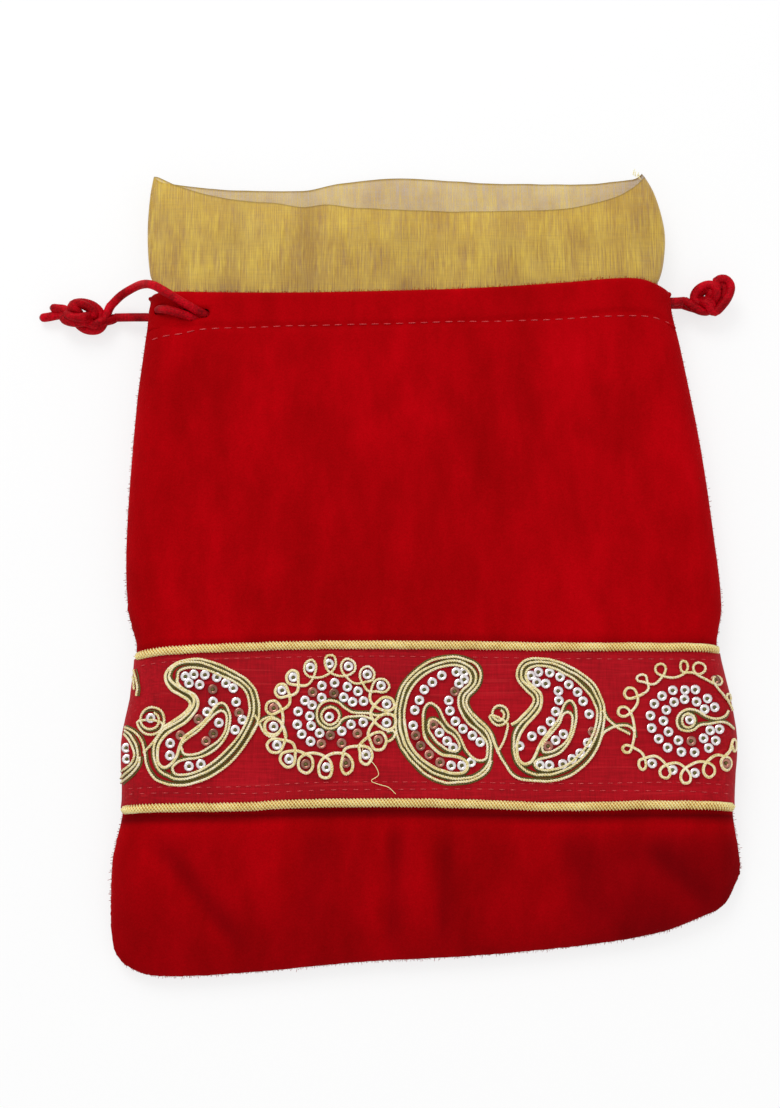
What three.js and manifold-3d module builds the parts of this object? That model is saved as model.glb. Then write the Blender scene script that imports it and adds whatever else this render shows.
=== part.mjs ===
// Potli bag: a drawstring pouch of red velvet, lying flat with its mouth open
// towards +Y. Two velvet panels are sewn round the sides and the bottom, an
// organza collar stands out of the mouth, and an embroidered ribbon between two
// gold braids goes round the lower half. Two round cords run through the casing
// and end in knots at the two sides.
// Millimetres. X runs across the bag, Y towards the mouth, Z up from the table.
// The origin is under the middle of the bag.

import * as THREE from 'three';
import { mergeVertices } from 'three/addons/utils/BufferGeometryUtils.js';
import Module from 'manifold-3d';

const wasm = await Module();
wasm.setup();

// Driving dimensions
const GAP = 0.3; // air between pieces that touch
const VELVET = 0.9; // wall thickness of the velvet with its pile
const ORGANZA = 0.4; // wall thickness of the collar
const MOUTH_LEVEL = 16; // height of the bag at the mouth
const BELLY_LEVEL = 15; // height of the bag between mouth and trim
const TRIM_LEVEL = 13; // height of the velvet under the front ribbon
const FOOT_LEVEL = 12; // height of the bag below the trim
const SEAM_AT_MOUTH = 5; // height of the side seams at the mouth
const SEAM_AT_FOOT = 3.4; // height of the bottom seam
const SIDE_ROUND = 12; // how far the sides are rounded off
const FOOT_ROUND = 32; // how far the bottom is rounded off
const TRIM_RECESS = 2.4; // how far the back is pressed in under its ribbon
const CASING_DEPTH = 11.2; // from the mouth edge to the casing's stitch line
const CASING_WALL = 4.8; // outer layer, cord channel and facing together
const FACING = 0.6; // thickness of the turned-in facing
const FACING_ROUND = 4; // how far the facing is rounded off at the sides
const STITCH_DIP = 0.8; // how far the stitches pull the velvet in
const CORD = 2.6; // diameter of the drawstrings
const KNOT_CORD = 3; // diameter of the doubled cord in the knots
const BRAID_WIDTH = 2.6; // width of the gold braids
const BRAID_HEIGHT = 1.7; // height of the gold braids
const UPPER_BRAID_Y = -28.4; // middle of the upper braid
const LOWER_BRAID_Y = -73.1; // middle of the lower braid
const RIBBON = 0.5; // thickness of the ribbon
const ZARI = 0.9; // height and width of one couched gold cord
const ZARI_PITCH = 1.0; // distance between two cords laid side by side
const SEQUIN_RADIUS = 1.5;
const SEQUIN_HEIGHT = 0.25; // above the ribbon
const SEQUIN_SIDES = 5;

const VELVET_RED = 0xa60108;
const SILK_RED = 0xa20817;
const CORD_RED = 0xb4081c;
const ORGANZA_GOLD = 0xbd9b4a;
const BRAID_GOLD = 0xc9a167;
const ZARI_GOLD = 0xcdb56b;

const fabric = (color, roughness, metalness = 0) =>
  new THREE.MeshStandardMaterial({ color, roughness, metalness });

const bag = new THREE.Group();

function add(name, geometry, material) {
  const mesh = new THREE.Mesh(geometry, material);
  mesh.name = name;
  bag.add(mesh);
}

// Small numeric helpers
const lerp = (a, b, t) => a + (b - a) * t;
const clamp01 = (t) => Math.min(1, Math.max(0, t));
const smooth = (a, b, t) => {
  const s = clamp01((t - a) / (b - a));
  return s * s * (3 - 2 * s);
};
// A quarter circle that rises from 0 at t = 0 to 1 at t = 1
const quarter = (t) => Math.sqrt(1 - (1 - clamp01(t)) ** 2);

// A smooth function through the points [t, value], in rising order of t
function through(points) {
  const slope = (i) => {
    const a = points[Math.max(0, i - 1)];
    const b = points[Math.min(points.length - 1, i + 1)];
    return (b[1] - a[1]) / (b[0] - a[0]);
  };
  return (t) => {
    let i = 0;
    while (i < points.length - 2 && t > points[i + 1][0]) i += 1;
    const [t0, v0] = points[i];
    const [t1, v1] = points[i + 1];
    const h = t1 - t0;
    const s = clamp01((t - t0) / h);
    const rise = s * s * (3 - 2 * s);
    return v0 + (v1 - v0) * rise
      + h * (s * (1 - s) ** 2 * slope(i) - s * s * (1 - s) * slope(i + 1));
  };
}

// Plan outline of the bag, lying on the table
const leftEdge = through([
  [-120, -87.6], [-90, -88.6], [-73, -85.8], [-55, -86.4], [-42, -84.4], [-28, -83.6],
  [-16, -86.6], [5, -87.6], [45, -86], [62, -84.4], [79, -82.8], [90, -82.8],
]);
const rightEdge = through([
  [-120, 86], [-90, 88.6], [-73, 87], [-55, 88.4], [-42, 87], [-28, 84.6],
  [-16, 86.4], [5, 85], [32, 82.2], [60, 77.9], [79, 74.6], [90, 74.6],
]);
// Height of the bottom and mouth edges over the distance across the bag
const bottomEdge = through([
  [-88.4, -106], [-87, -113], [-82, -117.8], [-74, -119.8], [-52, -119], [-18, -116],
  [15, -114.2], [48, -111], [66, -107.8], [77, -103.8], [84, -100], [88.4, -92],
]);
const mouthEdge = through([
  [-83, 79.2], [-73, 78], [-37, 77.7], [-7, 78.3], [17, 79.2], [41, 80.8], [62, 82.2], [75, 80],
]);
const seamLevel = (y) => lerp(SEAM_AT_FOOT, SEAM_AT_MOUTH, smooth(-110, 40, y));
const frontLevel = through([
  [-125, FOOT_LEVEL - 3], [-92, FOOT_LEVEL], [-76, TRIM_LEVEL - 0.6], [-50, TRIM_LEVEL],
  [-26, TRIM_LEVEL - 0.2], [-8, BELLY_LEVEL - 0.6], [20, BELLY_LEVEL], [55, BELLY_LEVEL + 0.6],
  [68, MOUTH_LEVEL], [90, MOUTH_LEVEL],
]);
const trimZone = (y) => smooth(-83, -77, y) * (1 - smooth(-24.5, -18.5, y));
const backLevel = (y) => TRIM_RECESS * trimZone(y);

// How far a point is up the rounded sides and bottom: 0 at the seam, 1 on the flat
function roundness(x, y, inset, sideRound = SIDE_ROUND) {
  const side = Math.min(x - leftEdge(y), rightEdge(y) - x) - inset;
  const foot = y - bottomEdge(x) - inset;
  return quarter(side / sideRound) * quarter(foot / FOOT_ROUND);
}

// Near the mouth, over the distance k from its edge: how far the folded edge
// curls in, how far the stitches pull the velvet in, and where the casing is
const mouthCurl = (k) => (k < 0.2 ? 1.4 : k < 1 ? 0.4 : 0);
const stitchDip = (k) => (Math.abs(k - CASING_DEPTH) < 0.2 ? STITCH_DIP : 0);
const casingShare = (k) => 1 - smooth(CASING_DEPTH - 1.4, CASING_DEPTH + 0.2, k);
const innerRound = (k) => lerp(SIDE_ROUND, FACING_ROUND, casingShare(k));
const wallAt = (k) => lerp(VELVET + stitchDip(k), CASING_WALL - mouthCurl(k), casingShare(k));

// The two faces of each velvet panel, as heights over the plan
function frontOuter(x, y) {
  const k = mouthEdge(x) - y;
  const base = seamLevel(y) + GAP / 2;
  const level = frontLevel(y) - mouthCurl(k) - stitchDip(k);
  return base + (level - base) * roundness(x, y, 0);
}
function frontInner(x, y) {
  const k = mouthEdge(x) - y;
  const base = seamLevel(y) + GAP / 2;
  return base + (frontLevel(y) - wallAt(k) - base) * roundness(x, y, VELVET, innerRound(k));
}
function backOuter(x, y) {
  const k = mouthEdge(x) - y;
  const base = seamLevel(y) - GAP / 2;
  const level = backLevel(y) + mouthCurl(k) + stitchDip(k);
  return base + (level - base) * roundness(x, y, 0);
}
function backInner(x, y) {
  const k = mouthEdge(x) - y;
  const base = seamLevel(y) - GAP / 2;
  return base + (backLevel(y) + wallAt(k) - base) * roundness(x, y, VELVET, innerRound(k));
}

// Closed solids from grids and loops of points
function geometryFrom(points, triangles) {
  const geometry = new THREE.BufferGeometry();
  geometry.setAttribute('position', new THREE.Float32BufferAttribute(points.flat(), 3));
  geometry.setIndex(triangles.flat());
  return geometry;
}

// A sheet of cloth between two grids of points, columns across and rows up the bag
function sheet(upper, lower) {
  const columns = upper.length;
  const rows = upper[0].length;
  const top = (i, j) => i * rows + j;
  const under = (i, j) => columns * rows + i * rows + j;
  const triangles = [];
  const quad = (a, b, c, d) => triangles.push([a, b, c], [a, c, d]);
  for (let i = 0; i < columns - 1; i += 1) {
    for (let j = 0; j < rows - 1; j += 1) {
      quad(top(i, j), top(i + 1, j), top(i + 1, j + 1), top(i, j + 1));
      quad(under(i, j), under(i, j + 1), under(i + 1, j + 1), under(i + 1, j));
    }
    quad(under(i, 0), under(i + 1, 0), top(i + 1, 0), top(i, 0));
    quad(top(i, rows - 1), top(i + 1, rows - 1), under(i + 1, rows - 1), under(i, rows - 1));
  }
  for (let j = 0; j < rows - 1; j += 1) {
    quad(top(0, j), top(0, j + 1), under(0, j + 1), under(0, j));
    const end = columns - 1;
    quad(under(end, j), under(end, j + 1), top(end, j + 1), top(end, j));
  }
  return geometryFrom([...upper.flat(), ...lower.flat()], triangles);
}

// A solid along a row of loops: open ends are capped, a closed one joins up
function loft(loops, closed = false) {
  const size = loops[0].length;
  const triangles = [];
  const last = closed ? loops.length : loops.length - 1;
  for (let i = 0; i < last; i += 1) {
    const next = ((i + 1) % loops.length) * size;
    for (let j = 0; j < size; j += 1) {
      const k = (j + 1) % size;
      triangles.push([i * size + j, i * size + k, next + k], [i * size + j, next + k, next + j]);
    }
  }
  if (!closed) {
    const end = (loops.length - 1) * size;
    for (let j = 1; j < size - 1; j += 1) {
      triangles.push([0, j + 1, j], [end, end + j, end + j + 1]);
    }
  }
  return geometryFrom(loops.flat(), triangles);
}

function toSolid(geometry) {
  const bare = new THREE.BufferGeometry();
  bare.setAttribute('position', geometry.getAttribute('position').clone());
  if (geometry.index) bare.setIndex(geometry.index.clone());
  const merged = mergeVertices(bare, 1e-5);
  return new wasm.Manifold(new wasm.Mesh({
    numProp: 3,
    vertProperties: new Float32Array(merged.getAttribute('position').array),
    triVerts: new Uint32Array(merged.index.array),
  }));
}

function fromSolid(solid) {
  const mesh = solid.getMesh();
  const geometry = new THREE.BufferGeometry();
  geometry.setAttribute('position', new THREE.BufferAttribute(mesh.vertProperties, 3));
  geometry.setIndex(new THREE.BufferAttribute(mesh.triVerts, 1));
  return geometry;
}

// A round cord along a list of points
function cordAlong(points, diameter, steps, sides) {
  const spots = points.map((p) => new THREE.Vector3(...p));
  const path = new THREE.CatmullRomCurve3(spots, false, 'centripetal');
  const ring = [];
  for (let i = 0; i < sides; i += 1) {
    const a = (2 * Math.PI * i) / sides;
    ring.push(new THREE.Vector2(Math.cos(a) * diameter / 2, Math.sin(a) * diameter / 2));
  }
  return new THREE.ExtrudeGeometry(new THREE.Shape(ring), {
    steps, extrudePath: path, bevelEnabled: false, curveSegments: 1,
  });
}

// A box between two corners
function box(low, high) {
  const geometry = new THREE.BoxGeometry(high[0] - low[0], high[1] - low[1], high[2] - low[2]);
  geometry.translate((low[0] + high[0]) / 2, (low[1] + high[1]) / 2, (low[2] + high[2]) / 2);
  return toSolid(geometry);
}

// Velvet panels
const EDGE_STEPS = [0, 1, 3.2, 7.5, 13]; // columns near a side, from its seam
const MIDDLE_STEPS = [-0.54, -0.18, 0.18, 0.54]; // columns between, as shares of the half width
const FOOT_SHARES = [0, 0.05, 0.18, 0.42, 0.72]; // rows from the bottom edge to the trim
const TRIM_ROWS = [-83, -75, -71.5, -50, -30, -26.6, -18.5];
const BODY_ROWS = [2, 30, 54];
const CASING_ROWS = [14, 12.8, CASING_DEPTH, 9.6, 5, 1.2, 0.5, 0]; // from the mouth edge

function columnsAt(y, inset) {
  const left = leftEdge(y);
  const right = rightEdge(y);
  const middle = (left + right) / 2;
  const half = (right - left) / 2;
  return [
    ...EDGE_STEPS.map((d) => left + Math.max(d, inset)),
    ...MIDDLE_STEPS.map((s) => middle + s * half),
    ...EDGE_STEPS.map((d) => right - Math.max(d, inset)).reverse(),
  ];
}

function panelGrid(height, inset) {
  const count = EDGE_STEPS.length * 2 + MIDDLE_STEPS.length;
  const grid = [];
  for (let i = 0; i < count; i += 1) {
    const column = [];
    const place = (pick) => {
      let y = pick(columnsAt(-100, inset)[i]);
      for (let n = 0; n < 4; n += 1) y = pick(columnsAt(y, inset)[i]);
      const x = columnsAt(y, inset)[i];
      column.push([x, y, height(x, y)]);
    };
    for (const s of FOOT_SHARES) place((x) => lerp(bottomEdge(x) + inset, TRIM_ROWS[0], s));
    for (const y of [...TRIM_ROWS, ...BODY_ROWS]) place(() => y);
    for (const k of CASING_ROWS) place((x) => mouthEdge(x) - k);
    grid.push(column);
  }
  return grid;
}

const CHANNEL_NEAR = 1.7; // from the mouth edge to the cords' channel
const CHANNEL_FAR = CASING_DEPTH - 2.3; // from the mouth edge to the channel's other side

// The space between two surfaces in the casing that the cords run through
function channel(xs, upperAt, lowerAt) {
  return toSolid(loft(xs.map((x) => {
    const near = mouthEdge(x) - CHANNEL_NEAR;
    const far = mouthEdge(x) - CHANNEL_FAR;
    return [
      [x, far, lowerAt(x)], [x, near, lowerAt(x)], [x, near, upperAt(x)], [x, far, upperAt(x)],
    ];
  })));
}

// The two channels meet in the right side, where the cords turn round, and the
// back one is open inwards at both sides
const LANE_Y = 75; // the middle of the casing
const END_REACH = 11.8; // length at each side over which a channel opens inwards
const BUTTONHOLE = { x: -65.2, y: 71.4, half: 8.6, tall: 2.5, corner: 2, depth: 3.4 };
const rightAt = rightEdge(LANE_Y);
const leftAt = leftEdge(LANE_Y);
const middleX = [-60, -40, -20, 0, 20, 40, 56];
const rightX = [13, 11, 7.5, 4.5, 3.2, 2.2].map((d) => rightAt - d);
const leftX = [2.4, 3.6, 5.5, 8, 11, 13].map((d) => leftAt + d);
const nearLeft = (x) => x < leftAt + END_REACH;
const nearRight = (x) => x > rightAt - END_REACH;

const frontChannel = channel(
  [BUTTONHOLE.x - BUTTONHOLE.half + 0.2, ...middleX, ...rightX],
  (x) => frontOuter(x, LANE_Y) - VELVET,
  (x) => (nearRight(x) ? SEAM_AT_MOUTH - 1 : frontOuter(x, LANE_Y) - CASING_WALL + FACING),
);
const backChannel = channel(
  [...leftX, ...middleX, ...rightX],
  (x) => (
    nearLeft(x) || nearRight(x) ? SEAM_AT_MOUTH + 1 : backOuter(x, LANE_Y) + CASING_WALL - FACING),
  (x) => backOuter(x, LANE_Y) + VELVET,
);

// Buttonhole in the front of the casing, where the cords go in at the left
function buttonhole() {
  const { x, y, half, tall, corner, depth } = BUTTONHOLE;
  const [w, h] = [half - corner, tall - corner];
  const shape = new THREE.Shape();
  shape.absarc(x + w, y + h, corner, 0, Math.PI / 2);
  shape.absarc(x - w, y + h, corner, Math.PI / 2, Math.PI);
  shape.absarc(x - w, y - h, corner, Math.PI, Math.PI * 1.5);
  shape.absarc(x + w, y - h, corner, Math.PI * 1.5, Math.PI * 2);
  const cut = { depth: 2 * depth, bevelEnabled: false, curveSegments: 3 };
  const geometry = new THREE.ExtrudeGeometry(shape, cut);
  geometry.translate(0, 0, MOUTH_LEVEL - depth);
  return toSolid(geometry);
}

// Where the side seams are left open for the cords: the slit at the right, the
// open corner of the front and the dip in the back under it at the left
const sideSlit = box([rightAt - 4, 75.9, 2.7], [rightAt + 3, 79.7, 10.2]);
const leftCorner = box([-95, 71.7, SEAM_AT_MOUTH - 0.5], [-77.2, 90, 30]);
const leftDip = box([-95, 71.6, 2.6], [-79, 75.1, 8]);

const frontPanel = toSolid(sheet(panelGrid(frontOuter, 0), panelGrid(frontInner, VELVET)))
  .subtract(frontChannel)
  .subtract(buttonhole())
  .subtract(sideSlit)
  .subtract(leftCorner);
const backPanel = toSolid(sheet(panelGrid(backInner, VELVET), panelGrid(backOuter, 0)))
  .subtract(backChannel)
  .subtract(sideSlit)
  .subtract(leftDip);
const velvet = fabric(VELVET_RED, 0.85);
add('front_panel', fromSolid(frontPanel), velvet);
add('back_panel', fromSolid(backPanel), velvet);

// Organza collar: one flattened tube, sewn in under the casing
const COLLAR_LOW = 5.1; // underside of its back layer at the mouth
const COLLAR_HIGH = 10.9; // upper side of its front layer at the mouth
const COLLAR_LOW_AT_TOP = 3.4;
const COLLAR_HIGH_AT_TOP = 10.7;
const collarLeft = through([
  [66, -76.6], [77.5, -76.8], [82.5, -81.4], [86, -83], [99, -84.3], [112, -84], [120, -82.8],
]);
const collarRight = through([
  [66, 67], [78, 67.2], [84, 71.4], [92, 73.4], [101, 73.8], [112, 71.4], [120, 67.4],
]);
const collarBackTop = through([
  [-84, 118.8], [-75, 117.6], [-62, 116], [-38, 115.6], [-25, 118], [-7, 119.6], [24, 118],
  [52, 118], [69, 119.7],
]);
const collarFrontTop = through([
  [-84, 118], [-75, 113.6], [-63, 110.2], [-44, 107.8], [-37, 106.6], [-30, 107.6], [-20, 106.4],
  [5, 105.6], [24, 105.4], [42, 106.2], [55, 109], [62, 112], [69, 118.6],
]);
const COLLAR_SHARES = [0, 0.2, 0.31, 0.42, 0.62, 0.82, 1]; // rings from the casing to the top
const COLLAR_SPOTS = [-0.985, -0.95, -0.6, -0.3, 0, 0.3, 0.6, 0.95, 0.985]; // across a layer
const COLLAR_HALF = 76; // about half the collar's width
const COLLAR_FOLD = 3; // how far its side folds are rounded off

// A ring round the collar: the back layer from left to right, the front one back
function collarRing(share, inset) {
  const point = (across, upper) => {
    const top = upper ? collarFrontTop : collarBackTop;
    let x = across * COLLAR_HALF;
    let y = 0;
    for (let n = 0; n < 4; n += 1) {
      y = lerp(mouthEdge(x) - CASING_DEPTH, top(x), share);
      x = lerp(collarLeft(y) + inset, collarRight(y) - inset, (across + 1) / 2);
    }
    const lift = smooth(80, 116, y);
    const low = lerp(COLLAR_LOW, COLLAR_LOW_AT_TOP, lift) + inset;
    const high = lerp(COLLAR_HIGH, COLLAR_HIGH_AT_TOP, lift) - inset;
    const swell = quarter(((1 - Math.abs(across)) * COLLAR_HALF) / COLLAR_FOLD);
    return [x, y, (low + high + (upper ? 1 : -1) * swell * (high - low)) / 2];
  };
  return [
    point(-1, false),
    ...COLLAR_SPOTS.map((s) => point(s, false)),
    point(1, false),
    ...COLLAR_SPOTS.map((s) => point(s, true)).reverse(),
  ];
}

const collar = loft([
  ...COLLAR_SHARES.map((s) => collarRing(s, ORGANZA)),
  ...COLLAR_SHARES.map((s) => collarRing(s, 0)).reverse(),
], true);
add('organza_collar', collar, fabric(ORGANZA_GOLD, 0.6));

// Ribbon: a strip round each panel from seam to seam, under the braids
const RIBBON_TOP = UPPER_BRAID_Y - BRAID_WIDTH / 2 - GAP;
const RIBBON_FOOT = LOWER_BRAID_Y + BRAID_WIDTH / 2 + GAP;
const RIBBON_ROWS = [0, 0.5, 1];

// A point raised off the front or back velvet, square to its surface
function raised(surface, side, x, y, height) {
  const step = 0.4;
  const left = Math.max(x - step, leftEdge(y) + 0.01);
  const right = Math.min(x + step, rightEdge(y) - 0.01);
  const slopeX = (surface(right, y) - surface(left, y)) / (right - left);
  const slopeY = (surface(x, y + step) - surface(x, y - step)) / (2 * step);
  const normal = new THREE.Vector3(-slopeX * side, -slopeY * side, 1).normalize();
  return [
    x + normal.x * height,
    y + normal.y * height,
    surface(x, y) + side * normal.z * height,
  ];
}

function ribbonGrid(surface, side, height) {
  return columnsAt(0, 0).map((_, i) => RIBBON_ROWS.map((r) => {
    const y = lerp(RIBBON_FOOT, RIBBON_TOP, r);
    const point = raised(surface, side, columnsAt(y, 0)[i], y, height);
    return [point[0], y, point[2]];
  }));
}

const silk = fabric(SILK_RED, 0.55);
const zariThread = fabric(ZARI_GOLD, 0.4, 0.5);
const frontFace = ribbonGrid(frontOuter, 1, GAP + RIBBON);
const backFace = ribbonGrid(backOuter, -1, GAP + RIBBON);

// Height of the ribbon's outer face over a point of the plan
function ribbonLevel(face, x, y) {
  const rows = face[0].length - 1;
  const at = clamp01((y - RIBBON_FOOT) / (RIBBON_TOP - RIBBON_FOOT)) * rows;
  const row = Math.min(rows - 1, Math.floor(at));
  const across = face.map((column) => {
    const [a, b] = [column[row], column[row + 1]];
    return [lerp(a[0], b[0], at - row), lerp(a[2], b[2], at - row)];
  });
  let i = 0;
  while (i < across.length - 2 && x > across[i + 1][0]) i += 1;
  const share = (x - across[i][0]) / (across[i + 1][0] - across[i][0]);
  return lerp(across[i][1], across[i + 1][1], clamp01(share));
}

// The two sides carry the same design: each is placed by its own mapping
const onFront = (x, y, up) => [x, y, ribbonLevel(frontFace, x, y) + up];
const onBack = (x, y, up) => [-x, y, ribbonLevel(backFace, -x, y) - up];

// Section of couched cords lying side by side, as points [across, up]
function couched(rows) {
  const half = ((rows - 1) / 2) * ZARI_PITCH;
  const section = [[-half - ZARI / 2, 0], [half + ZARI / 2, 0]];
  for (let r = 0; r < rows; r += 1) {
    const across = half - r * ZARI_PITCH;
    section.push([across, ZARI]);
    if (r < rows - 1) section.push([across - ZARI_PITCH / 2, ZARI * 0.4]);
  }
  return section;
}

// Couched cords along a plan curve, laid on the ribbon
function couch(points, { rows = 1, steps, closed = false, place }) {
  const spots = points.map(([x, y]) => new THREE.Vector3(x, y, 0));
  const curve = new THREE.CatmullRomCurve3(spots, closed, 'centripetal');
  const section = couched(rows);
  const loops = [];
  for (let i = 0; i < (closed ? steps : steps + 1); i += 1) {
    const p = curve.getPointAt(i / steps);
    const t = curve.getTangentAt(i / steps);
    loops.push(section.map(([across, up]) => (
      place(p.x - t.y * across, p.y + t.x * across, GAP + up))));
  }
  return toSolid(loft(loops, closed));
}

// Paisley: three rows round its outline and two round the teardrop inside
const PAISLEY_OUTLINE = [
  [-9.5, 11.9], [-7.4, 15.2], [-2.7, 16.4], [2.6, 15.3], [8, 12], [11.7, 7.9], [13, 4],
  [12.6, -0.8], [10, -6.6], [6.3, -11.8], [0.9, -15.6], [-5.2, -16.2], [-9.6, -14.4],
  [-12, -10], [-10.6, -5.6], [-8, -2.4], [-4.6, -0.4], [-2, 3.2], [-3, 6.4], [-6, 8.3],
];
const PAISLEY_TEAR = [
  [-8.4, -12], [-4, -7.6], [-0.4, -2], [2.6, 2.4], [5.2, 3.6], [6.2, 0.6], [4.4, -5.6], [0, -10.2],
];
const PAISLEY_SEQUINS = [
  [-5.2, 12.2], [-2.6, 13], [0.4, 12.6], [3.4, 11.4], [5.8, 9.6], [8, 7.4], [-3.6, 9.4], [-0.8, 9.4],
  [1.4, 6.4], [9, 4.2], [9.4, 0.8], [8.6, -2.6], [-1.2, -0.4], [-4.2, -3.6], [-7.2, -6.4],
  [-8.6, -9.6], [-2.6, -12.6], [0.8, -12.4], [3.6, -0.2], [1.8, -4.4],
];
const PAISLEY_STEM = [[-10.4, -13.6], [-6.4, -10.6]];

// The points of a shape moved to its centre, and mirrored where flip is -1
const shifted = (points, cx, cy, flip) => points.map(([x, y]) => [cx + flip * x, cy + y]);

function paisley(cx, cy, flip, place, fine) {
  const turned = (points) => {
    const moved = shifted(points, cx, cy, flip);
    return flip > 0 ? moved : moved.reverse();
  };
  const outline = { rows: fine ? 3 : 1, steps: fine ? 28 : 20, closed: true, place };
  const tear = { rows: fine ? 2 : 1, steps: fine ? 13 : 8, closed: true, place };
  return couch(turned(PAISLEY_OUTLINE), outline)
    .add(couch(turned(PAISLEY_TEAR), tear))
    .add(couch(turned(PAISLEY_STEM), { steps: 1, place }));
}

// Rosette: a scalloped ring of small loops round a spiral, with a tail of two cords
const ROSETTE_RADIUS = [13.4, 12.2]; // of the ring that the loops stand on
const ROSETTE_LOOPS = 18;
const LOOP_OUTLINE = [[-0.3, -0.8], [1.8, -1.9], [4.1, 0], [1.8, 1.9], [-0.3, 0.8]];
const INNER_RINGS = [[9.2, 15], [5.9, 9]]; // radius and number of the rings of sequins
const SPIRAL_RADIUS = 2.9;
const TAIL_GAP = 0.55; // half the angle, in radians, that the rings of sequins leave free

const onRosette = (cx, cy, angle, out, along) => {
  const c = Math.cos(angle);
  const d = Math.sin(angle);
  return [
    cx + (ROSETTE_RADIUS[0] + out) * c - along * d,
    cy + (ROSETTE_RADIUS[1] + out) * d + along * c,
  ];
};

function rosetteLoops(cx, cy, { angles, sides = [], place, fine }) {
  const closed = sides.length === 0;
  const shape = fine ? LOOP_OUTLINE : [LOOP_OUTLINE[0], LOOP_OUTLINE[2]];
  const points = [
    ...sides.map(([x, y]) => [x, cy + y]),
    ...angles.flatMap((a) => shape.map(([out, along]) => onRosette(cx, cy, a, out, along))),
    ...sides.map(([x, y]) => [x, cy - y]).reverse(),
  ];
  return couch(points, { steps: points.length, closed, place });
}

function rosette(cx, cy, shape) {
  const { tail, link, place, fine } = shape;
  const centre = Array.from({ length: 10 }, (_, i) => {
    const a = (2 * Math.PI * i) / 10;
    return [cx + SPIRAL_RADIUS * Math.cos(a), cy + SPIRAL_RADIUS * Math.sin(a)];
  });
  const crossing = [cx - ROSETTE_RADIUS[0] - 0.2, cy - 2.4];
  return rosetteLoops(cx, cy, shape)
    .add(couch(centre, { rows: fine ? 2 : 1, steps: fine ? 12 : 8, closed: true, place }))
    .add(couch([[cx + SPIRAL_RADIUS, cy], [tail, cy]], { rows: 2, steps: 5, place }))
    .add(couch([[link, cy - 0.8], crossing], { steps: 2, place }))
    .add(couch([[link, cy - 3.4], crossing], { steps: 2, place }));
}

function rosetteSequins(cx, cy) {
  const spots = [];
  for (const [radius, count] of INNER_RINGS) {
    for (let i = 0; i < count; i += 1) {
      const a = lerp(TAIL_GAP, 2 * Math.PI - TAIL_GAP, i / (count - 1));
      spots.push([cx + radius * Math.cos(a), cy + radius * 0.94 * Math.sin(a)]);
    }
  }
  return spots;
}

// Where the motifs stand along the trim
const TRIM_Y = -49.3;
const PAISLEYS = [['left', -61.4, 1], ['middle', 6.5, -1], ['right', 35.6, 1]];
const loopAngles = (from, count) => (
  Array.from({ length: count }, (_, i) => ((from + (360 / ROSETTE_LOOPS) * i) * Math.PI) / 180));
const ROSETTES = [
  ['left', -26.7, { angles: loopAngles(10, ROSETTE_LOOPS), tail: -8.2, link: -46.4 }],
  ['right', 72.8, {
    angles: loopAngles(70, 12),
    tail: 84.4,
    link: 50.4,
    sides: [[84.2, 0.4], [84, 4.5], [82.2, 9]],
  }],
];
const CURLS = [
  ['left', [
    [-77.4, -48.2], [-76.2, -49.2], [-77.3, -50.4], [-79, -49.4], [-78.8, -47.2], [-76.8, -46.2],
    [-74.6, -47.6], [-74.2, -50.6], [-76, -55], [-78.6, -58.2], [-78.4, -62.6], [-76, -66],
    [-71.4, -68], [-66.6, -68.2],
  ]],
  ['right', [
    [20.6, -47.6], [21.6, -48.6], [20.6, -49.6], [19.2, -48.6], [19.4, -46.8], [21.2, -46],
    [22.8, -47.4], [22.8, -50.6], [21.6, -55], [21.5, -59], [22.8, -63], [25.6, -66.2],
    [29.6, -67.9], [34, -68.1],
  ]],
];
const EDGE_PAISLEY = [[-82.6, -52.4], [-81.7, -54.8], [-81.3, -59], [-81.7, -63], [-82.8, -66]];

// Sequins: flat discs sewn down on the ribbon
function sequin(x, y) {
  const loop = (up) => Array.from({ length: SEQUIN_SIDES }, (_, i) => {
    const a = (2 * Math.PI * i) / SEQUIN_SIDES;
    return onFront(x + SEQUIN_RADIUS * Math.cos(a), y + SEQUIN_RADIUS * Math.sin(a), up);
  });
  return toSolid(loft([loop(-RIBBON / 2), loop(SEQUIN_HEIGHT)]));
}
const sequinSpots = [
  ...PAISLEYS.flatMap(([, cx, flip]) => shifted(PAISLEY_SEQUINS, cx, TRIM_Y, flip)),
  ...ROSETTES.flatMap(([, cx]) => rosetteSequins(cx, TRIM_Y)),
];

const ribbonUnder = ribbonGrid(frontOuter, 1, GAP);
const frontRibbon = wasm.Manifold.union([
  toSolid(sheet(frontFace, ribbonUnder)),
  ...sequinSpots.map(([x, y]) => sequin(x, y)),
]);
const backRibbon = toSolid(sheet(ribbonGrid(backOuter, -1, GAP), backFace));
add('front_ribbon', fromSolid(frontRibbon), silk);
add('back_ribbon', fromSolid(backRibbon), silk);

// The motifs of both sides; those of the front have all their rows of cord
for (const [side, place, fine] of [['front', onFront, true], ['back', onBack, false]]) {
  const addMotif = (name, solid) => add(`${side}_${name}`, fromSolid(solid), zariThread);
  for (const [name, cx, flip] of PAISLEYS) {
    addMotif(`${name}_paisley`, paisley(cx, TRIM_Y, flip, place, fine));
  }
  for (const [name, cx, shape] of ROSETTES) {
    addMotif(`${name}_rosette`, rosette(cx, TRIM_Y, { ...shape, place, fine }));
  }
  for (const [name, points] of CURLS) {
    addMotif(`${name}_curl`, couch(points, { steps: fine ? 22 : 14, place }));
  }
  addMotif('edge_paisley', couch(EDGE_PAISLEY, { rows: 2, steps: 5, place }));
}

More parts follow.
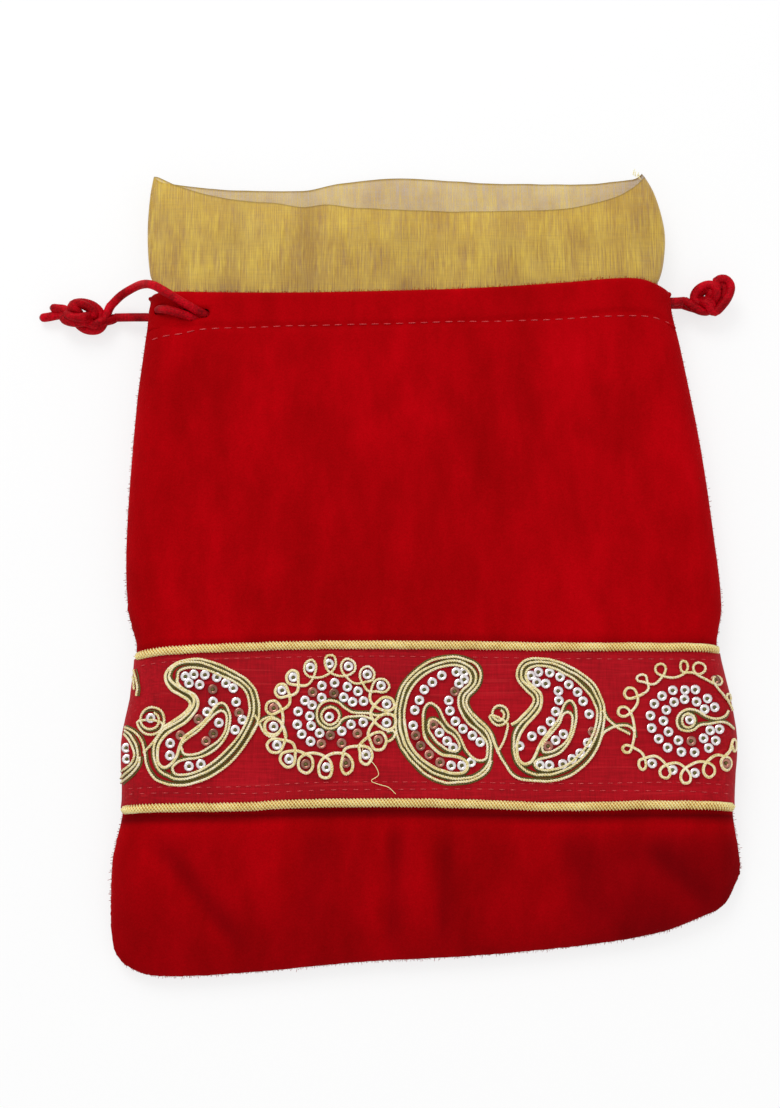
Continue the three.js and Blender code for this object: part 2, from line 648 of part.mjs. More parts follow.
// Gold braids: half-round cords that hold the ribbon's two edges down
const BRAID_SECTION = [
  [-BRAID_WIDTH / 2, 0], [BRAID_WIDTH / 2, 0], [BRAID_WIDTH * 0.4, BRAID_HEIGHT * 0.75],
  [0, BRAID_HEIGHT], [-BRAID_WIDTH * 0.4, BRAID_HEIGHT * 0.75],
];

function braid(surface, side, y) {
  return loft(columnsAt(y, 0.4).map((x) => BRAID_SECTION.map(([across, up]) => {
    const point = raised(surface, side, x, y, GAP + up);
    return [point[0], y + side * across, point[2]];
  })));
}

const gold = fabric(BRAID_GOLD, 0.45, 0.4);
add('front_upper_braid', braid(frontOuter, 1, UPPER_BRAID_Y), gold);
add('front_lower_braid', braid(frontOuter, 1, LOWER_BRAID_Y), gold);
add('back_upper_braid', braid(backOuter, -1, UPPER_BRAID_Y), gold);
add('back_lower_braid', braid(backOuter, -1, LOWER_BRAID_Y), gold);

// Drawstrings: each is one cord, doubled, with both its ends in its knot
const LEFT_STRING = [
  [-94.6, 77.3, 3.8], [-92, 80.4, 5], [-88.6, 81.7, 7.8], [-84.6, 81.2, 12.2], [-80.6, 79, 16.6],
  [-76.6, 76.3, 18.1], [-72.6, 74.2, 18.1], [-69, 72.8, 17.6], [-65.8, 71.8, 16.6],
  [-62.6, 70.9, 15.2], [-59.5, 70.6, 13.9], [-55, 70.6, 13.5], [-37, 70.5, 13.5],
  [-18, 70.8, 13.5], [0, 71.4, 13.5], [20, 72.2, 13.5], [42, 73.7, 13.5], [56, 74.8, 13.5],
  [62.4, 74.9, 13.4], [66.4, 74.6, 12.5], [69.3, 74.4, 10.8], [70.7, 74.3, 8.1],
  [69.4, 74.4, 5.2], [66.4, 74.6, 3.4], [62.4, 74.9, 2.6], [56, 74.8, 2.5], [42, 73.7, 2.5],
  [20, 72.2, 2.5], [0, 71.4, 2.5], [-18, 70.8, 2.5], [-37, 70.5, 2.5], [-60, 70.9, 2.5],
  [-71, 71.1, 2.6], [-76, 71.8, 3.3], [-79.5, 72.6, 4.1], [-82.8, 73.4, 4.7],
  [-87, 73.8, 4], [-94.2, 74.4, 2.2],
];
const RIGHT_STRING = [
  [79.4, 78.6, 5.2], [76.5, 77.9, 6.4], [73.2, 77.5, 7.6], [70.7, 77.5, 10.3], [67.8, 77.8, 12.3],
  [63, 78.3, 13.3], [56, 78.5, 13.5], [40, 77.4, 13.5], [20, 76, 13.5], [0, 75.2, 13.5],
  [-20, 74.6, 13.5], [-37, 74.3, 13.5], [-50, 74.5, 13.5], [-57, 74.5, 13.5],
  [-60.6, 74.3, 13.4], [-62.9, 73.7, 13.3], [-65, 72.6, 13.2], [-67, 71.4, 13.4],
  [-69.2, 70.7, 14.5], [-71.6, 70.6, 16.5], [-74.4, 71.3, 17.7], [-77.3, 72.5, 16.8],
  [-79.5, 73.8, 13.8], [-80.6, 74.6, 9.9], [-79.9, 74.9, 6.5], [-77, 74.9, 4],
  [-72.5, 74.7, 2.8], [-66, 74.5, 2.5], [-50, 74.5, 2.5], [-37, 74.3, 2.5], [-20, 74.6, 2.5],
  [0, 75.2, 2.5], [20, 76, 2.5], [40, 77.4, 2.5], [56, 78.5, 2.5], [63, 78.2, 2.7],
  [67, 77.8, 3.3], [70.2, 77.6, 4.1], [73.2, 77.8, 4.4], [76.5, 78.1, 3.3], [79.6, 78.6, 2.2],
];
const STRING_STEPS = 56;
const satin = fabric(CORD_RED, 0.5);
add('left_drawstring', cordAlong(LEFT_STRING, CORD, STRING_STEPS, 8), satin);
add('right_drawstring', cordAlong(RIGHT_STRING, CORD, STRING_STEPS, 8), satin);

// Knots: the doubled cord tied in an overhand knot, with its tail
const KNOT_RADIUS = 4.2;
const KNOT_SWING = 1.6;
const KNOT_RISE = 1.9;
const KNOT_STRETCH = 1.26;

// The entry, the three crossings of the knot, and the tail; s is 1 for a knot at the left
function knotRoute(centre, turn, s, entry, tail) {
  const points = [entry];
  const steps = 16;
  for (let i = 0; i <= steps; i += 1) {
    const t = Math.PI / 4 - lerp(0.56, Math.PI - 0.44, i / steps) * 2 + Math.PI * 2;
    const radius = KNOT_RADIUS + KNOT_SWING * Math.cos(3 * t + Math.PI / 4);
    const x = s * radius * Math.cos(2 * t) * KNOT_STRETCH;
    const y = radius * Math.sin(2 * t);
    points.push([
      centre[0] + x * Math.cos(turn) - y * Math.sin(turn),
      centre[1] + x * Math.sin(turn) + y * Math.cos(turn),
      centre[2] + KNOT_RISE * Math.sin(3 * t + Math.PI / 4),
    ]);
  }
  points.push(tail);
  return points;
}

const knotCord = (route) => cordAlong(route, KNOT_CORD, 28, 6);
add('left_knot', knotCord(
  knotRoute([-104.8, 74, 4.54], -0.21, 1, [-95.6, 75.65, 3], [-112.6, 77.7, 1.6]),
), satin);
add('right_knot', knotCord(
  knotRoute([88.4, 81.4, 5.15], 0.415, -1, [80.9, 78.4, 3], [92.7, 85.7, 1.75]),
), satin);

export default bag;
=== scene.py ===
"""Potli bag: the looks of a red velvet drawstring pouch that lies flat on its back.

X runs across the bag, Y towards its mouth, Z up from the table. Shapes are worked
out in millimetres and become metres when a mesh or a curve is made.
"""

import math

import bmesh
import bpy
from mathutils import Matrix, Vector, noise


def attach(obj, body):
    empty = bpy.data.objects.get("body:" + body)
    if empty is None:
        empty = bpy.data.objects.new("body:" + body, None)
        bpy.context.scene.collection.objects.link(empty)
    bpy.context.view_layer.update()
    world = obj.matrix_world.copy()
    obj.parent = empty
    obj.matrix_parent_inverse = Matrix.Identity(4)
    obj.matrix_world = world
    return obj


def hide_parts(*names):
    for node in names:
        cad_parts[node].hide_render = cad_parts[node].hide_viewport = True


noise.seed_set(7)  # noise vectors are otherwise new in each run
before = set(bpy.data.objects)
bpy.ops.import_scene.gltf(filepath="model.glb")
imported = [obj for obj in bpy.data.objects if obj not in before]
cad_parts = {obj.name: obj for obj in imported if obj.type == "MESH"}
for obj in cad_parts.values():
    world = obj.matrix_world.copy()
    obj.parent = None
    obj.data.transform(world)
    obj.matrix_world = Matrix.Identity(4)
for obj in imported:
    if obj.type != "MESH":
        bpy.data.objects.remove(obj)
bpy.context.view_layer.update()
scene = bpy.context.scene
scene.view_settings.view_transform = "Standard"

MM = 0.001

# Camera, at the photograph's place and angle

IMAGE = (780, 1108)  # the photograph's frame
FOCAL_LENGTH = 1500  # in its pixels
SENSOR = 36  # millimetres on the frame's long side
TILT = math.radians(12)

eye = bpy.data.cameras.new("camera")
eye.sensor_width = SENSOR
eye.lens = FOCAL_LENGTH * SENSOR / IMAGE[1]
eye.clip_start = 0.01
camera = bpy.data.objects.new("camera", eye)
camera.location = Vector((-10.165, -91.717, 435.95)) * MM
camera.rotation_euler = (TILT, 0, 0)
scene.collection.objects.link(camera)
scene.camera = camera

# Small numeric helpers


def lerp(a, b, t):
    return a + (b - a) * t


def clamp(t):
    return min(1.0, max(0.0, t))


def smooth(a, b, t):
    s = clamp((t - a) / (b - a))
    return s * s * (3 - 2 * s)


def quarter(t):
    """A quarter circle that rises from 0 at t = 0 to 1 at t = 1."""
    return math.sqrt(1 - (1 - clamp(t)) ** 2)


def bump(centre, width, t):
    return math.exp(-(((t - centre) / width) ** 2))


def through(points):
    """A smooth function through the points (t, value), in rising order of t."""

    def slope(i):
        a, b = points[max(0, i - 1)], points[min(len(points) - 1, i + 1)]
        return (b[1] - a[1]) / (b[0] - a[0])

    def value(t):
        i = 0
        while i < len(points) - 2 and t > points[i + 1][0]:
            i += 1
        (t0, v0), (t1, v1) = points[i], points[i + 1]
        h = t1 - t0
        s = clamp((t - t0) / h)
        rise = s * s * (3 - 2 * s)
        bend = s * (1 - s) ** 2 * slope(i) - s * s * (1 - s) * slope(i + 1)
        return v0 + (v1 - v0) * rise + h * bend

    return value


def rough(x, y, size, seed=0):
    """Smooth noise from about -1 to 1 with features of that size in millimetres."""
    return noise.noise(Vector((x / size, y / size, seed * 7.3)))


def spline(points, closed=False):
    """A function from 0..1 to a smooth curve through the points."""
    spots = [Vector(p) for p in points]
    count = len(spots)
    spans = count if closed else count - 1

    def at(i):
        return spots[i % count] if closed else spots[min(count - 1, max(0, i))]

    def knots(p):
        ts = [0.0]
        for a, b in zip(p, p[1:]):
            ts.append(ts[-1] + max(1e-4, math.sqrt((b - a).length)))
        return ts

    def value(t):
        f = t * spans
        i = min(spans - 1, int(f))
        p = [at(i - 1), at(i), at(i + 1), at(i + 2)]
        if not closed and i == 0:
            p[0] = p[1] * 2 - p[2]
        if not closed and i == spans - 1:
            p[3] = p[2] * 2 - p[1]
        k = knots(p)
        u = lerp(k[1], k[2], f - i)
        a = [p[j].lerp(p[j + 1], (u - k[j]) / (k[j + 1] - k[j])) for j in range(3)]
        b = [a[j].lerp(a[j + 1], (u - k[j]) / (k[j + 2] - k[j])) for j in range(2)]
        return b[0].lerp(b[1], (u - k[1]) / (k[2] - k[1]))

    return value


def spaced(points, step, closed=False, even=12):
    """Points about step apart on the smooth curve through the given points."""
    curve = spline(points, closed)
    fine = [curve(i / (len(points) * even)) for i in range(len(points) * even + 1)]
    far = [0.0]
    for a, b in zip(fine, fine[1:]):
        far.append(far[-1] + (b - a).length)
    count = max(2, round(far[-1] / step))
    found, j = [], 0
    for i in range(count + 1):
        d = far[-1] * i / count
        while j < len(far) - 2 and far[j + 1] < d:
            j += 1
        share = (d - far[j]) / max(1e-9, far[j + 1] - far[j])
        found.append(fine[j].lerp(fine[j + 1], clamp(share)))
    return found[:-1] if closed else found


# Drawstrings: each is one round cord from its knot, through the casing and back to the knot

CORD = 2.6
LEFT_STRING = [
    (-95.4, 77.6, 3.8), (-92.4, 80.2, 5), (-88.6, 81.4, 7.8), (-84.6, 81.1, 12.2),
    (-80.6, 79.1, 16.6), (-76.6, 76.4, 18.1), (-72.6, 73.8, 18.1), (-69, 71.9, 17.3),
    (-66.4, 70.8, 15.9), (-64.4, 70.4, 14.2), (-61.6, 70.3, 13.5), (-55, 70.6, 13.5),
    (-37, 70.5, 13.5), (-18, 70.8, 13.5), (0, 71.4, 13.5), (20, 72.2, 13.5), (42, 73.7, 13.5),
    (56, 74.8, 13.5), (62.4, 74.9, 13.4), (66.4, 74.6, 12.5), (69.3, 74.4, 10.8),
    (70.7, 74.3, 8.1), (69.4, 74.4, 5.2), (66.4, 74.6, 3.4), (62.4, 74.9, 2.6), (56, 74.8, 2.5),
    (42, 73.7, 2.5), (20, 72.2, 2.5), (0, 71.4, 2.5), (-18, 70.8, 2.5), (-37, 70.5, 2.5),
    (-60, 70.9, 2.5), (-71, 71.1, 2.6), (-76, 71.8, 3.3), (-79.5, 72.6, 4.1), (-82.8, 73.4, 4.7),
    (-87, 73.8, 4), (-94.2, 74.4, 2.2),
]
RIGHT_STRING = [
    (79.4, 78.6, 5.2), (76.5, 77.9, 6.4), (73.2, 77.5, 7.6), (70.7, 77.5, 10.3), (67.8, 77.8, 12.3),
    (63, 78.3, 13.3), (56, 78.5, 13.5), (40, 77.4, 13.5), (20, 76, 13.5), (0, 75.2, 13.5),
    (-20, 74.6, 13.5), (-37, 74.3, 13.5), (-50, 74.5, 13.5), (-57, 74.5, 13.5),
    (-60.6, 74, 13.4), (-62.6, 72.8, 13.3), (-64.2, 71.2, 13.2), (-66, 69.9, 13.6),
    (-68, 69.4, 14.8), (-70.2, 69.5, 16.5), (-73, 70.2, 17.4), (-76, 71.2, 16.9),
    (-78.3, 72.3, 14.6), (-79.7, 73.3, 10.9), (-79.7, 74.2, 7), (-77, 74.9, 4),
    (-72.5, 74.7, 2.8), (-66, 74.5, 2.5), (-50, 74.5, 2.5), (-37, 74.3, 2.5), (-20, 74.6, 2.5),
    (0, 75.2, 2.5), (20, 76, 2.5), (40, 77.4, 2.5), (56, 78.5, 2.5), (63, 78.2, 2.7),
    (67, 77.8, 3.3), (70.2, 77.6, 4.1), (73.2, 77.8, 4.4), (76.5, 78.1, 3.3), (79.6, 78.6, 2.2),
]


def tube(name, lines, diameter, resolution=4, closed=(), round_end=False):
    """A curve object with a round section along each list of points.

    closed has the numbers of the lines that join up, and round_end draws in the last points.
    """
    data = bpy.data.curves.new(name, "CURVE")
    data.dimensions = "3D"
    data.bevel_depth = diameter / 2 * MM
    data.bevel_resolution = resolution
    data.use_fill_caps = True
    for n, line in enumerate(lines):
        run = data.splines.new("POLY")
        run.points.add(len(line) - 1)
        run.use_cyclic_u = n in closed
        run.use_smooth = True
        for i, (point, spot) in enumerate(zip(run.points, line)):
            point.co = (*(spot * MM), 1)
            if round_end:
                point.radius = quarter((len(line) - i - 0.8) / 2.4)
    made = bpy.data.objects.new(name, data)
    scene.collection.objects.link(made)
    return made


def length_of(line):
    return sum((b - a).length for a, b in zip(line, line[1:]))


KNOT_RADIUS = 2.25
KNOT_SWING = 1.2
KNOT_RISE = 1.7
KNOT_STEPS = 16
KNOT_START = 0.56  # of its turn, in radians
KNOT_STOP = math.pi - 0.44
STRAND_GAP = 1.9  # between the middles of a knot's two strands
STRAND_LEAN = (46, 12)  # degrees that they are stacked at: in the knot, and where they are loose


def knot_route(centre, turn, s, stretch, steps, entry, *tail):
    """The line of an overhand knot, from where its cord comes in to its tail."""
    points = [Vector(entry)]
    for i in range(steps + 1):
        t = math.pi / 4 - lerp(KNOT_START, KNOT_STOP, i / KNOT_STEPS) * 2 + math.pi * 2
        radius = KNOT_RADIUS + KNOT_SWING * math.cos(3 * t + math.pi / 4)
        x = s * radius * math.cos(2 * t) * stretch
        y = radius * math.sin(2 * t)
        points.append(Vector((
            centre[0] + x * math.cos(turn) - y * math.sin(turn),
            centre[1] + x * math.sin(turn) + y * math.cos(turn),
            centre[2] + KNOT_RISE * math.sin(3 * t + math.pi / 4),
        )))
    return points + [Vector(spot) for spot in tail]


def strands(route, starts, splay, step=0.6):
    """The two strands of a doubled cord, one over the other, from their own starts.

    They come apart by splay at their ends, where the first is the shorter one.
    """
    line = spaced(route, step)
    sides = [[], []]
    for i, spot in enumerate(line):
        ahead = line[min(len(line) - 1, i + 1)] - line[max(0, i - 1)]
        across = ahead.cross(Vector((0, 0, 1))).normalized()
        loose = smooth(len(line) - 13, len(line) - 5, i) * splay
        lean = math.radians(lerp(*STRAND_LEAN, loose)) + 0.25 * math.sin(i / 4)
        off = across * math.cos(lean) + Vector((0, 0, 1)) * math.sin(lean)
        off *= STRAND_GAP / 2 * (1 + 0.45 * loose)
        joined = smooth(0, 9, i)
        for side, run, start in zip((1, -1), sides, starts):
            run.append((Vector(start) + (spot - line[0])).lerp(spot + off * side, joined))
    return [sides[0][:len(line) - round(6 * splay)], sides[1]]


# Finishes. A Wire is one value of a material, so that shader maths reads as sums


class Wire:
    def __init__(self, owner, socket):
        self.owner = owner
        self.socket = socket

    def math(self, operation, first, second):
        return self.owner.node("ShaderNodeMath", {"operation": operation}, {0: first, 1: second})

    def __add__(self, other):
        return self.math("ADD", self, other)

    __radd__ = __add__

    def __sub__(self, other):
        return self.math("SUBTRACT", self, other)

    def __rsub__(self, other):
        return self.math("SUBTRACT", other, self)

    def __mul__(self, other):
        return self.math("MULTIPLY", self, other)

    __rmul__ = __mul__


class Nodes:
    """The nodes of a material or of the world."""

    def __init__(self, tree):
        self.tree = tree

    def node(self, kind, settings=None, inputs=None, output=0):
        """Any node: its settings first, then the values or wires of its sockets."""
        made = self.tree.nodes.new(kind)
        for key, value in (settings or {}).items():
            if key == "stops":
                self.set_stops(made.color_ramp, value)
            else:
                setattr(made, key, value)
        for key, value in (inputs or {}).items():
            self.feed(made.inputs[key], value)
        return Wire(self, made.outputs[output])

    def set_stops(self, ramp, stops):
        while len(ramp.elements) < len(stops):
            ramp.elements.new(1)
        for element, (place, color) in zip(ramp.elements, stops):
            element.position = place
            element.color = color

    def feed(self, socket, value):
        if isinstance(value, Wire):
            self.tree.links.new(value.socket, socket)
        else:
            socket.default_value = value


class Finish(Nodes):
    """A material whose constants sit on its shader and whose patterns are wired to it."""

    def __init__(self, name, **constants):
        self.material = bpy.data.materials.new(name)
        self.material.use_nodes = True
        super().__init__(self.material.node_tree)
        self.shader = self.tree.nodes["Principled BSDF"]
        for socket, value in constants.items():
            self.shader.inputs[socket.replace("_", " ")].default_value = value

    def set(self, socket, value):
        self.feed(self.shader.inputs[socket], value)

    def place(self, scale=(1, 1, 1), turn=0.0):
        """The object's own coordinates, stretched and turned for a pattern."""
        where = self.node("ShaderNodeTexCoord", output=3)
        return self.node(
            "ShaderNodeMapping", {}, {"Vector": where, "Rotation": (0, 0, turn), "Scale": scale},
        )

    def painted(self, name):
        """A value that is stored at the piece's vertices."""
        return self.node("ShaderNodeAttribute", {"attribute_name": name}, output=2)

    def speckle(self, place, size, detail=2.0, roughness=0.5):
        """Noise from 0 to 1 with features of about that size in millimetres."""
        return self.node("ShaderNodeTexNoise", {"noise_dimensions": "3D"}, {
            "Vector": place, "Scale": 1000 / size, "Detail": detail, "Roughness": roughness,
        })

    def ramp(self, value, *stops):
        return self.node("ShaderNodeValToRGB", {"stops": stops}, {0: value})

    def mix(self, share, first, second):
        return self.node(
            "ShaderNodeMix", {"data_type": "RGBA"}, {0: share, 6: first, 7: second}, output=2,
        )

    def emboss(self, height, depth, strength=1.0):
        """Makes the surface rise by up to depth millimetres where height is 1."""
        self.set("Normal", self.node("ShaderNodeBump", {}, {
            "Height": height, "Distance": depth * MM, "Strength": strength,
        }))


def rgb(r, g, b):
    """A colour as a screen shows it, turned into the light that it stands for."""
    return (*((c / 255 / 12.92 if c < 11 else ((c / 255 + 0.055) / 1.055) ** 2.4)
              for c in (r, g, b)), 1.0)


BLACK = (0.0, 0.0, 0.0, 1.0)
WHITE = (1.0, 1.0, 1.0, 1.0)


def velvet_finish():
    made = Finish(
        "velvet", Roughness=0.9, Specular_IOR_Level=0.03,
        Sheen_Weight=0.1, Sheen_Roughness=0.35, Sheen_Tint=rgb(255, 2, 14),
    )
    here = made.place()
    patches = made.speckle(made.place(scale=(1, 0.6, 1), turn=-0.5), 30, 4, 0.6)
    brushed = made.speckle(made.place(scale=(1, 0.35, 1), turn=0.3), 9, 3, 0.6)
    pile = made.speckle(here, 0.55, 2, 0.7)
    nap = made.painted("nap")
    shade = patches * 0.4 + brushed * 0.35 + pile * 0.25
    ground = made.ramp(
        shade,
        (0.36, rgb(142, 0, 3)), (0.49, rgb(161, 0, 6)), (0.6, rgb(178, 0, 9)),
        (0.76, rgb(198, 2, 16)),
    )
    # Painted shade: the velvet turns dark red by the amount of shade painted at its vertices.
    made.set("Base Color", made.mix(nap, ground, rgb(66, 0, 4)))
    made.emboss(pile * 0.6 + made.speckle(here, 1.6) * 0.8, 0.22, 0.55)
    return made.material


def silk_finish():
    made = Finish(
        "raw_silk", Specular_IOR_Level=0.12, Sheen_Weight=0.05, Sheen_Tint=rgb(255, 40, 50),
    )
    threads = made.speckle(made.place(scale=(0.06, 1, 1)), 0.5, 3, 0.6)
    cross = made.speckle(made.place(scale=(1, 0.08, 1)), 0.42, 2, 0.6)
    slubs = made.speckle(made.place(scale=(0.05, 1, 1)), 1.3, 1, 0.4)
    cloud = made.speckle(made.place(), 22, 2)
    slub = made.ramp(slubs, (0.66, BLACK), (0.72, WHITE))
    ground = made.ramp(
        threads * 0.45 + cross * 0.3 + cloud * 0.25,
        (0.34, rgb(136, 0, 12)), (0.5, rgb(164, 0, 18)), (0.64, rgb(184, 6, 26)),
    )
    made.set("Base Color", made.mix(slub * 0.22, ground, rgb(214, 40, 46)))
    made.set("Roughness", 0.62 - slub * 0.15)
    made.emboss(threads * 0.6 + cross * 0.35 + slub * 0.5, 0.16, 0.6)
    return made.material


def organza_finish():
    made = Finish("organza", Roughness=0.55, Specular_IOR_Level=0.35, Sheen_Weight=0.1)
    warp = made.speckle(made.place(scale=(1, 0.03, 0)), 0.36, 2, 0.8)
    weft = made.speckle(made.place(scale=(0.05, 1, 0)), 0.45, 2, 0.6)
    moire = made.speckle(made.place(scale=(1, 0.5, 1)), 13, 4, 0.7)
    shade = made.painted("shade")
    hem = made.painted("hem")
    ground = made.ramp(
        warp * 0.5 + moire * 0.45 + weft * 0.05,
        (0.36, rgb(158, 110, 8)), (0.48, rgb(193, 152, 34)), (0.62, rgb(226, 192, 60)),
    )
    lit = made.mix(shade * 0.8, ground, rgb(134, 88, 14))
    made.set("Base Color", made.mix(hem * 0.7, lit, rgb(120, 96, 50)))
    closeness = made.ramp(warp * 0.7 + weft * 0.3, (0.34, BLACK), (0.6, WHITE))
    made.set("Alpha", 0.64 + closeness * 0.22 + hem * 0.25)
    made.emboss(warp + made.speckle(made.place(), 2.0) * 0.3, 0.1, 0.5)
    return made.material


def cord_finish():
    made = Finish("satin_cord", Specular_IOR_Level=0.07)
    here = made.place()
    weave = made.speckle(here, 0.5, 2, 0.6)
    cloud = made.speckle(here, 5, 2)
    made.set("Base Color", made.ramp(
        weave * 0.5 + cloud * 0.5,
        (0.36, rgb(116, 0, 8)), (0.5, rgb(164, 0, 14)), (0.62, rgb(204, 0, 26)),
    ))
    made.set("Roughness", 0.42 + weave * 0.25)
    made.emboss(weave, 0.12, 0.6)
    return made.material


def metal_thread_finish(name, dark, middle, light, grain, metallic, braided=0.0):
    """Metal-wrapped thread with painted highlight on its ridges and painted shade in its grooves.
    braided adds slanting runs.
    """
    made = Finish(name, Metallic=metallic, Specular_IOR_Level=0.4)
    here = made.place()
    fibres = made.speckle(here, grain, 2, 0.7)
    cloud = made.speckle(here, 6, 2)
    slant = made.node("ShaderNodeTexWave", {"wave_type": "BANDS", "bands_direction": "X"}, {
        "Vector": made.place(turn=0.75), "Scale": 480, "Distortion": 1.5, "Detail": 2,
    }, output=1)
    groove = made.painted("groove")
    # Painted highlight and shade: lighter on the ridges, where the groove value is low, darker deep
    # in the grooves.
    made.set("Base Color", made.ramp(
        fibres * (0.85 - braided * 0.45) + cloud * 0.25 + slant * (braided * 0.15)
        + (0.52 - groove) * (0.12 + braided * 0.16) + braided * 0.1,
        (0.34, dark), (0.5, middle), (0.66, light),
    ))
    made.set("Roughness", 0.3 + fibres * 0.35)
    made.emboss(fibres, grain * 0.3, 0.5)
    return made.material


def sequin_finish():
    made = Finish("sequin_film", Metallic=0.85, Roughness=0.22, Specular_IOR_Level=0.6)
    tone = made.painted("tone")
    dust = made.speckle(made.place(), 0.5, 2)
    tint = made.ramp(
        tone, (0.0, rgb(255, 252, 252)), (0.66, rgb(250, 232, 236)),
        (0.7, rgb(190, 116, 96)), (1.0, rgb(120, 60, 36)),
    )
    made.set("Base Color", made.mix(dust * 0.3, tint, rgb(206, 190, 180)))
    made.set("Roughness", 0.16 + dust * 0.2)
    made.emboss(dust, 0.05, 0.4)
    return made.material


def stitch_finish():
    made = Finish("sewing_thread", Specular_IOR_Level=0.4)
    fibres = made.speckle(made.place(), 0.25, 2)
    made.set("Base Color", made.ramp(
        fibres, (0.35, rgb(170, 14, 28)), (0.5, rgb(200, 44, 52)), (0.65, rgb(226, 92, 92)),
    ))
    made.set("Roughness", 0.45 + fibres * 0.3)
    made.emboss(fibres, 0.05, 0.5)
    return made.material


velvet = velvet_finish()
silk = silk_finish()
organza = organza_finish()
satin = cord_finish()
zari = metal_thread_finish(
    "zari_cord", rgb(172, 140, 62), rgb(240, 222, 146), rgb(255, 246, 226), 0.36, 0.1,
)
gold = metal_thread_finish(
    "gold_braid", rgb(170, 118, 50), rgb(250, 220, 130), rgb(255, 250, 190), 0.35, 0.1, 1.0,
)
# Dark thread for couching and sequins; the lines beside the gold cords also stand in for painted
# shadow.
olive = metal_thread_finish(
    "couching_thread_and_painted_shadow", rgb(36, 30, 8), rgb(66, 58, 18), rgb(110, 100, 34), 0.3, 0.0,
)
film = sequin_finish()
thread = stitch_finish()
singed = metal_thread_finish(
    "singed_cord_end", rgb(50, 0, 8), rgb(96, 6, 16), rgb(150, 26, 36), 0.8, 0.0,
)


# Making pieces


def piece(made, finish, slot, *replaced):
    """Gives an object its material and its place on the bag, and hides the model's parts that it
    stands for.
    """
    made.data.materials.append(finish)
    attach(made, "root")
    if replaced:
        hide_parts(*replaced)
    return made


def as_object(name, bm):
    mesh = bpy.data.meshes.new(name)
    bm.to_mesh(mesh)
    bm.free()
    mesh.shade_smooth()
    made = bpy.data.objects.new(name, mesh)
    scene.collection.objects.link(made)
    return made


def cloth(across, along, place, size, facing_up=True):
    """A grid of cloth, put in place point by point, with the cut cloth's own coordinates.

    place takes the column, from 0 to across, and the row, from 0 to along.
    """
    bm = bmesh.new()
    bmesh.ops.create_grid(bm, x_segments=across, y_segments=along, size=0.5)
    uv = bm.loops.layers.uv.new("cloth")
    for face in bm.faces:
        for loop in face.loops:
            flat = loop.vert.co
            loop[uv].uv = ((flat.x + 0.5) * size[0] * MM, (flat.y + 0.5) * size[1] * MM)
    for vert in bm.verts:
        column = round((vert.co.x + 0.5) * across)
        row = round((vert.co.y + 0.5) * along)
        vert.co = Vector(place(column, row)) * MM
    if not facing_up:
        bmesh.ops.reverse_faces(bm, faces=bm.faces)
    return bm


def thicken(made, thickness):
    """Gives a sheet its thickness on its inner side."""
    wall = made.modifiers.new("thickness", "SOLIDIFY")
    wall.thickness = thickness * MM
    wall.offset = -1


# Plan outline and heights of the bag, as its solids have them

GAP = 0.3
VELVET = 0.9
MOUTH_LEVEL = 16
BELLY_LEVEL = 15
TRIM_LEVEL = 13
FOOT_LEVEL = 12
SEAM_AT_MOUTH = 5
SEAM_AT_FOOT = 3.4
SIDE_ROUND = 12
FOOT_ROUND = 32
TRIM_RECESS = 2.4
CASING_DEPTH = 11.2
FOLD = 1.95  # radius of the velvet's fold at the mouth
STITCH_DIP = 0.8

left_edge = through([
    (-120, -87.6), (-90, -88.6), (-73, -85.8), (-55, -86.4), (-42, -84.4), (-28, -83.6),
    (-16, -86.6), (5, -87.6), (45, -86), (62, -84.4), (79, -82.8), (90, -82.8),
])
right_edge = through([
    (-120, 86), (-90, 88.6), (-73, 87), (-55, 88.4), (-42, 87), (-28, 84.6),
    (-16, 86.4), (5, 85), (32, 82.2), (60, 77.9), (79, 74.6), (90, 74.6),
])
bottom_edge = through([
    (-88.4, -106), (-87, -113), (-82, -117.8), (-74, -119.8), (-52, -119), (-18, -116),
    (15, -114.2), (48, -111), (66, -107.8), (77, -103.8), (84, -100), (88.4, -92),
])
mouth_edge = through([
    (-83, 79.2), (-73, 78), (-37, 77.7), (-7, 78.3), (17, 79.2), (41, 80.8), (62, 82.2), (75, 80),
])
front_level = through([
    (-125, FOOT_LEVEL - 3), (-92, FOOT_LEVEL), (-76, TRIM_LEVEL - 0.6), (-50, TRIM_LEVEL),
    (-26, TRIM_LEVEL - 0.2), (-8, BELLY_LEVEL - 0.6), (20, BELLY_LEVEL), (55, BELLY_LEVEL + 0.6),
    (68, MOUTH_LEVEL), (90, MOUTH_LEVEL),
])


def seam_level(y):
    return lerp(SEAM_AT_FOOT, SEAM_AT_MOUTH, smooth(-110, 40, y))


def trim_zone(y):
    return smooth(-83, -77, y) * (1 - smooth(-24.5, -18.5, y))


def roundness(x, y):
    side = min(x - left_edge(y), right_edge(y) - x)
    foot = y - bottom_edge(x)
    return quarter(side / SIDE_ROUND) * quarter(foot / FOOT_ROUND)


def seam_opening(x, y):
    """How far the side seam is open where the cords come out of the casing."""
    return 1.5 * bump(-83, 3, x) * bump(73.4, 2.4, y) + 2.4 * bump(75, 3, x) * bump(78, 2.6, y)


def crease(x, y, start, end, width, depth):
    """A soft fold along a line of the plan: a valley with a ridge beside it."""
    a, b = Vector(start), Vector(end)
    along = (b - a).normalized()
    from_start = Vector((x, y)) - a
    t = from_start.dot(along) / (b - a).length
    off = from_start.x * along.y - from_start.y * along.x
    ends = smooth(-0.15, 0.2, t) * (1 - smooth(0.75, 1.15, t))
    return ends * depth * (0.75 * bump(1.5 * width, width, off) - bump(0, width, off))


